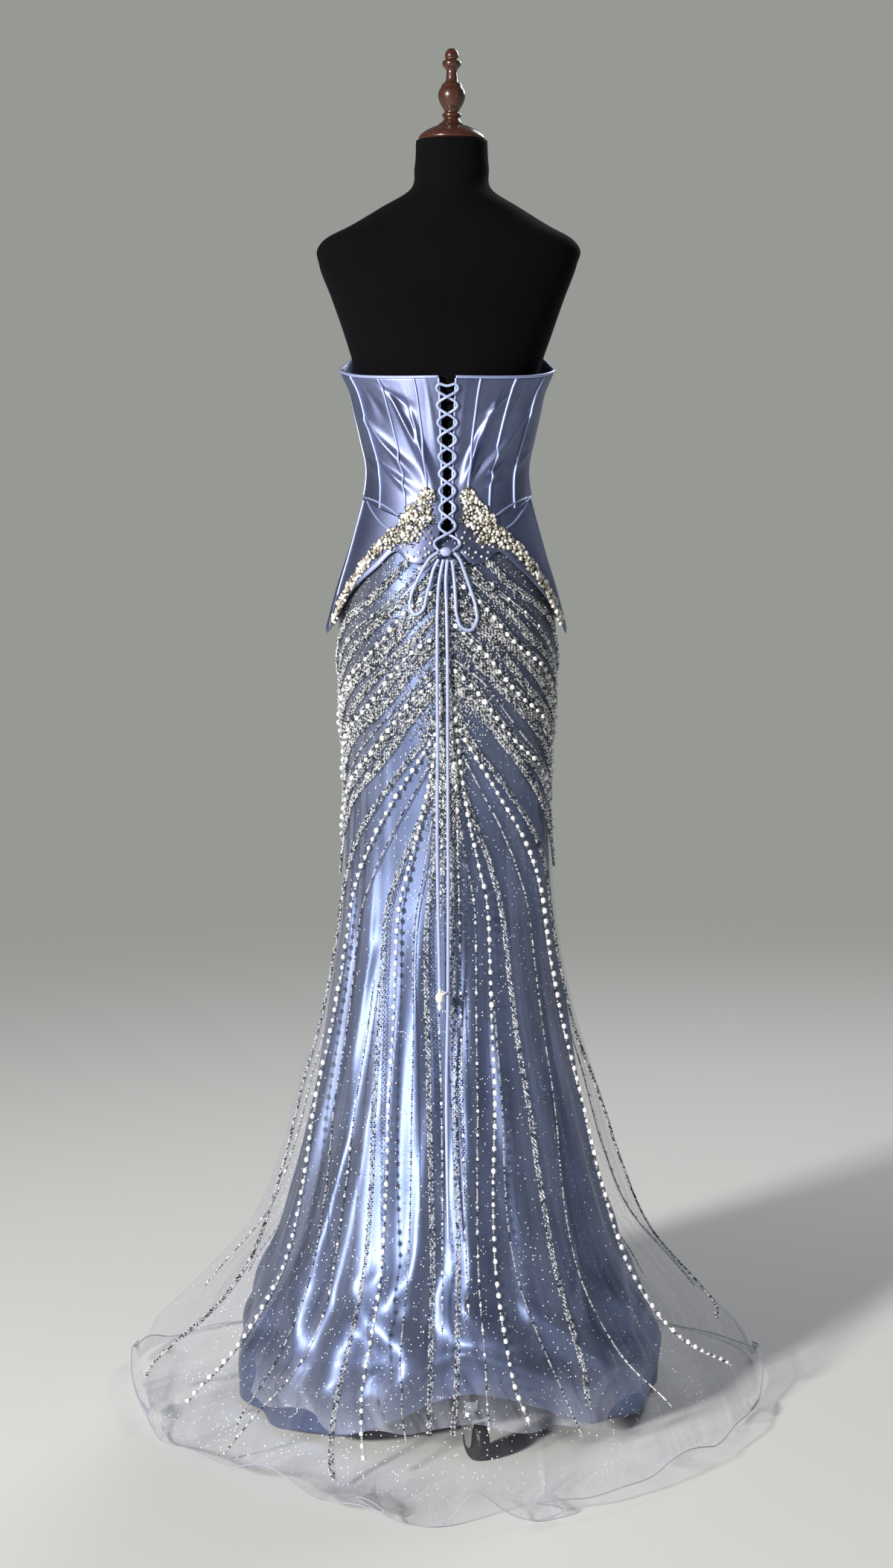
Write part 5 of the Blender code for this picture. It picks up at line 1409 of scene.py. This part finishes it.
# Long strands: angle and height of each point down to the hem, with the last point's row.
LONG_STRANDS = [
    (1, [(3, 0.945), (10, 0.905), (20, 0.870), (36, 0.825), (53, 0.775), (66, 0.720),
         (71, 0.640), (76, 0.480), (86, 0.280), (84, 0.130)], (78, 3.6)),
    (2, [(3, 0.925), (11, 0.890), (20, 0.856), (31, 0.815), (46, 0.762), (58, 0.700),
         (61, 0.620), (60, 0.450), (59, 0.280), (56, 0.140)], (66, 3.0)),
    (0, [(3, 0.905), (10, 0.868), (19, 0.828), (30, 0.780), (41, 0.720), (48, 0.650),
         (46, 0.480), (39, 0.280), (38, 0.140)], (45, 2.9)),
    (1, [(3, 0.880), (8, 0.835), (16, 0.780), (24, 0.725), (30, 0.650), (31, 0.480),
         (31, 0.280), (29, 0.140)], (27, 3.3)),
    (2, [(3, 0.955), (6, 0.880), (11, 0.800), (17, 0.730), (21.5, 0.660), (19, 0.480),
         (14, 0.280), (13, 0.140)], (14, 3.1)),
    (3, [(2.5, 0.900), (5, 0.820), (10, 0.740), (14.5, 0.660), (12, 0.480), (9, 0.280),
         (8, 0.140)], (7, 3.1)),
    (0, [(22, 0.560), (21, 0.420), (19, 0.280), (22, 0.140)], (25, 2.8)),
    (1, [(1.2, 1.080), (1.6, 0.940), (2.0, 0.800), (2.6, 0.620), (3.2, 0.420), (3.6, 0.280),
         (2.4, 0.140)], (1, 3.0)),
    (3, [(4.0, 0.990), (4.6, 0.880), (5.6, 0.760), (6.4, 0.640), (6.0, 0.480), (5.6, 0.330)],
         (5.4, 4.6)),
    (1, [(-3, 0.940), (-11, 0.902), (-22, 0.866), (-38, 0.820), (-55, 0.770), (-69, 0.710),
         (-76, 0.640), (-74, 0.480), (-68, 0.280), (-64, 0.150)], (-74, 2.6)),
    (2, [(-3, 0.920), (-11, 0.884), (-21, 0.848), (-33, 0.805), (-47, 0.750), (-58, 0.690),
         (-61, 0.610), (-58, 0.440), (-54, 0.280), (-50, 0.140)], (-54, 2.7)),
    (0, [(-3, 0.900), (-10, 0.862), (-20, 0.818), (-32, 0.768), (-44, 0.710), (-52, 0.640),
         (-48, 0.470), (-41, 0.280), (-37, 0.140)], (-39, 2.6)),
    (3, [(-37, 0.580), (-36, 0.420), (-34, 0.250), (-32, 0.130)], (-42, 1.8)),
    (1, [(-3, 0.875), (-9, 0.828), (-18, 0.772), (-27, 0.718), (-33.5, 0.650), (-30, 0.480),
         (-24.5, 0.270), (-22, 0.140)], (-20, 2.1)),
    (2, [(-3, 0.950), (-7, 0.872), (-14, 0.792), (-21, 0.724), (-26, 0.650), (-23, 0.480),
         (-19, 0.270), (-17, 0.140)], (-16, 2.6)),
    (0, [(-2.5, 0.890), (-7, 0.810), (-12, 0.730), (-17, 0.640), (-14, 0.480), (-11.4, 0.270),
         (-10, 0.130)], (-6, 2.9)),
    (1, [(-2.6, 1.080), (-3.4, 0.960), (-5.0, 0.820), (-9.0, 0.700), (-10.5, 0.620),
         (-7.0, 0.440), (-4.4, 0.270), (-3.6, 0.140)], (-3, 3.0)),
    (3, [(-1.2, 1.000), (-1.8, 0.860), (-3.4, 0.700), (-3.8, 0.560), (-2.0, 0.400)],
         (-1.2, 4.4))]
FRONT_STRANDS = [(kind, [(near, 0.96), (mid, 0.86), (far, 0.72), (far, 0.50), (far - 2, 0.28),
                         (far - 2, 0.14)], (far, 3.4))
                 for kind, near, mid, far in ((1, 177, 174, 171), (2, 173, 161, 148),
                                              (0, 168, 147, 131), (3, 160, 132, 114))]


def bead_line(theta, row):
    """Evenly spaced fine points of a line on the net, and the outward direction at each."""
    here = net_drape(theta, row)
    beside = net_drape(theta + 0.004, row) - net_drape(theta - 0.004, row)
    above = net_drape(theta, row + 0.02) - net_drape(theta, np.maximum(row - 0.02, 0))
    out = np.cross(beside, above)
    out /= np.linalg.norm(out, axis=-1, keepdims=True)
    return here, out


def lay_beads(theta, row, kind, chance):
    """Places, radii, thread direction and bead type along one line. Type 0 is a seed and
    type 1 a pearl. A rope has three lines of seeds that wind round each other."""
    line, out = bead_line(theta, row)
    run = run_of(line)
    ahead = np.gradient(line, run + np.arange(len(run)) * 1e-9, axis=0)
    found = []

    def at(places, radius, bead, aside=0.0, lift=BEAD_LIFT):
        """Beads at distances along the line, moved sideways and away from the cloth."""
        spot, face, way = (np.stack([np.interp(places, run, path[:, k]) for k in range(3)],
                                    axis=-1) for path in (line, out, ahead))
        way /= np.linalg.norm(way, axis=1, keepdims=True)
        aside, lift = np.broadcast_to(aside, places.shape), np.broadcast_to(lift, places.shape)
        spot = spot + np.cross(way, face) * aside[:, None] + face * (lift + radius)[:, None]
        found.append((spot, radius, way, np.full(len(places), bead)))

    steps = np.arange(0.001, run[-1], SEED_STEP)
    if kind in (0, 3):
        strayed = chance.normal(0, 0.0002, len(steps))
        at(steps, chance.uniform(0.9, 1.1, len(steps)) * SEED_RADIUS, 0, aside=strayed)
    if kind == 1:
        for phase in range(3):
            turn = steps / ROPE_TWIST * 2 * math.pi + phase * 2.094
            strayed = chance.normal(0, 0.0003, len(steps))
            at(steps + strayed, chance.uniform(0.85, 1.2, len(steps)) * SEED_RADIUS, 0,
               aside=ROPE_HALF_WIDTH * np.cos(turn),
               lift=BEAD_LIFT + ROPE_LIFT * (1 + np.sin(turn)))
    if kind == 2:
        big = np.arange(0.004, run[-1], PEARL_STEP)
        gap = np.abs((steps - 0.004) % PEARL_STEP - PEARL_STEP / 2) < PEARL_STEP * 0.32
        at(big, chance.uniform(*PEARL_RADII, len(big)), 1)
        at(steps[gap], chance.uniform(0.9, 1.15, int(gap.sum())) * SEED_RADIUS, 0)
    if kind == 3:
        small = np.arange(0.006, run[-1], SMALL_PEARL_STEP)
        at(small, chance.uniform(*SMALL_PEARL_RADII, len(small)), 1)
    return [np.concatenate(column) for column in zip(*found)]


# Silver-lined seeds: clear glass round a mirror lining, so each shows one bright or dark
# face as it turns. The facets are flat. Each bead is painted one tone at random, from white
# to near black, for its lining catching the light or not: painted highlight and painted
# shade, over a part metal finish.
seed_finish_painted_light = beaded_satin("silver_lined_seeds_painted_light", [
    "#6c6f76", "#cdcfd2", "#ffffff", "#3c3f46", "#b4b5b4", "#f1f1ee"], 0.40, 0.20)
strand_pearls = beaded_satin("strand_pearls", [
    "#f1efea", "#ffffff", "#dfdfdd", "#f8f6f1"], 0.0, 0.14)
chance = np.random.default_rng(31)
strand_parts = {"skirt_right": [], "skirt_left": [], "hips": [], "front": []}


def run_strand(kind, stations, last):
    """Lays one long strand through its stations, and on down to its last angle and row."""
    angles, heights = np.array(stations).T
    rows = np.append(row_at(heights), last[1])
    index = np.arange(float(len(rows)))
    step = np.linspace(0, index[-1], 900)
    theta = np.radians(smooth(index, np.append(angles, last[0]), step))
    return lay_beads(theta, np.maximum(smooth(index, rows, step), 0.2), kind, chance)


for kind, stations, last in LONG_STRANDS:
    side = "right" if stations[-1][0] > 0 else "left"
    strand_parts[f"skirt_{side}"].append(run_strand(kind, stations, last))
for kind, stations, last in FRONT_STRANDS:
    for side in (1, -1):
        mirrored = [(side * angle, height) for angle, height in stations]
        strand_parts["front"].append(run_strand(kind, mirrored, (side * last[0], last[1])))
# Each kind of feather has other lines beside it: the kind of each, and how far up it runs
# from the feather. So a rope has a second rope above it, pearls have seeds above them and a
# rope below, and seeds with small pearls have seeds below.
FEATHER_REACH = (3, 90.5)
FEATHER_WAVER = 0.003
LEFT_LOWER = 0.005
UNDER_PEPLUM = 0.004
BESIDE = {1: ((1, 0.0052),), 2: ((0, 0.0068), (1, -0.0082)), 3: ((0, -0.0046),)}
for side in (1, -1):
    for m, (start, steep, kind) in enumerate(zip(*FEATHERS.values())):
        turn = np.linspace(*FEATHER_REACH, 420)
        drop = steep * smooth(FEATHER_SWEEP["angle"], FEATHER_SWEEP["drop"], turn)
        z = start - drop - (LEFT_LOWER if side < 0 else 0)
        z = z + FEATHER_WAVER * np.sin(0.11 * turn + 2.1 * m + side)
        theta = side * np.radians(turn)
        kept = z < edge_height(PEPLUM_HEM, theta) + UNDER_PEPLUM
        strand_parts["hips"].append(lay_beads(theta[kept], row_at(z[kept]), int(kind), chance))
        for beside, up in BESIDE.get(int(kind), ()):
            strand_parts["hips"].append(lay_beads(theta[kept], row_at(z[kept] + up), beside,
                                                  chance))
        if m % 2 == 0:
            strand_parts["front"].append(lay_beads(side * math.pi - theta[kept],
                                                   row_at(z[kept]), 0, chance))

# Loose glitter seeds fill in beside the centre back, where the lines start.
LOOSE = 4600
LOOSE_RADIUS = 0.0011
LOOSE_LIFT = 0.0016
LOOSE_HEIGHTS = (0.64, 0.98, 1.14)
loose_z = chance.triangular(*LOOSE_HEIGHTS, LOOSE)
loose_spread = 5 + 26 * np.clip(loose_z - 0.86, 0, 1) / 0.28
loose_theta = np.radians(chance.normal(0, 1, LOOSE) * loose_spread)
loose_line, loose_out = bead_line(loose_theta, row_at(loose_z))
strand_parts["hips"].append([loose_line + loose_out * LOOSE_LIFT, np.full(LOOSE, LOOSE_RADIUS),
                             np.tile([0.0, 0.0, 1.0], (LOOSE, 1)), np.zeros(LOOSE)])

seed_shape, pearl_shape = ball(1, 4), ball(2, 6)
for group, parts in strand_parts.items():
    spots, radii, ways, beads = [np.concatenate(column) for column in zip(*parts)]
    for bead, shape, finish, kind in ((0, seed_shape, seed_finish_painted_light, "seeds"),
                                      (1, pearl_shape, strand_pearls, "pearls")):
        chosen = beads == bead
        if chosen.any():
            piece = strew(f"{group}_{kind}", shape, spots[chosen], radii[chosen], finish,
                          along=ways[chosen], stretch=1.15,
                          shades=chance.random(int(chosen.sum())), rounded=bead == 1)
            settle(piece, "pearl")
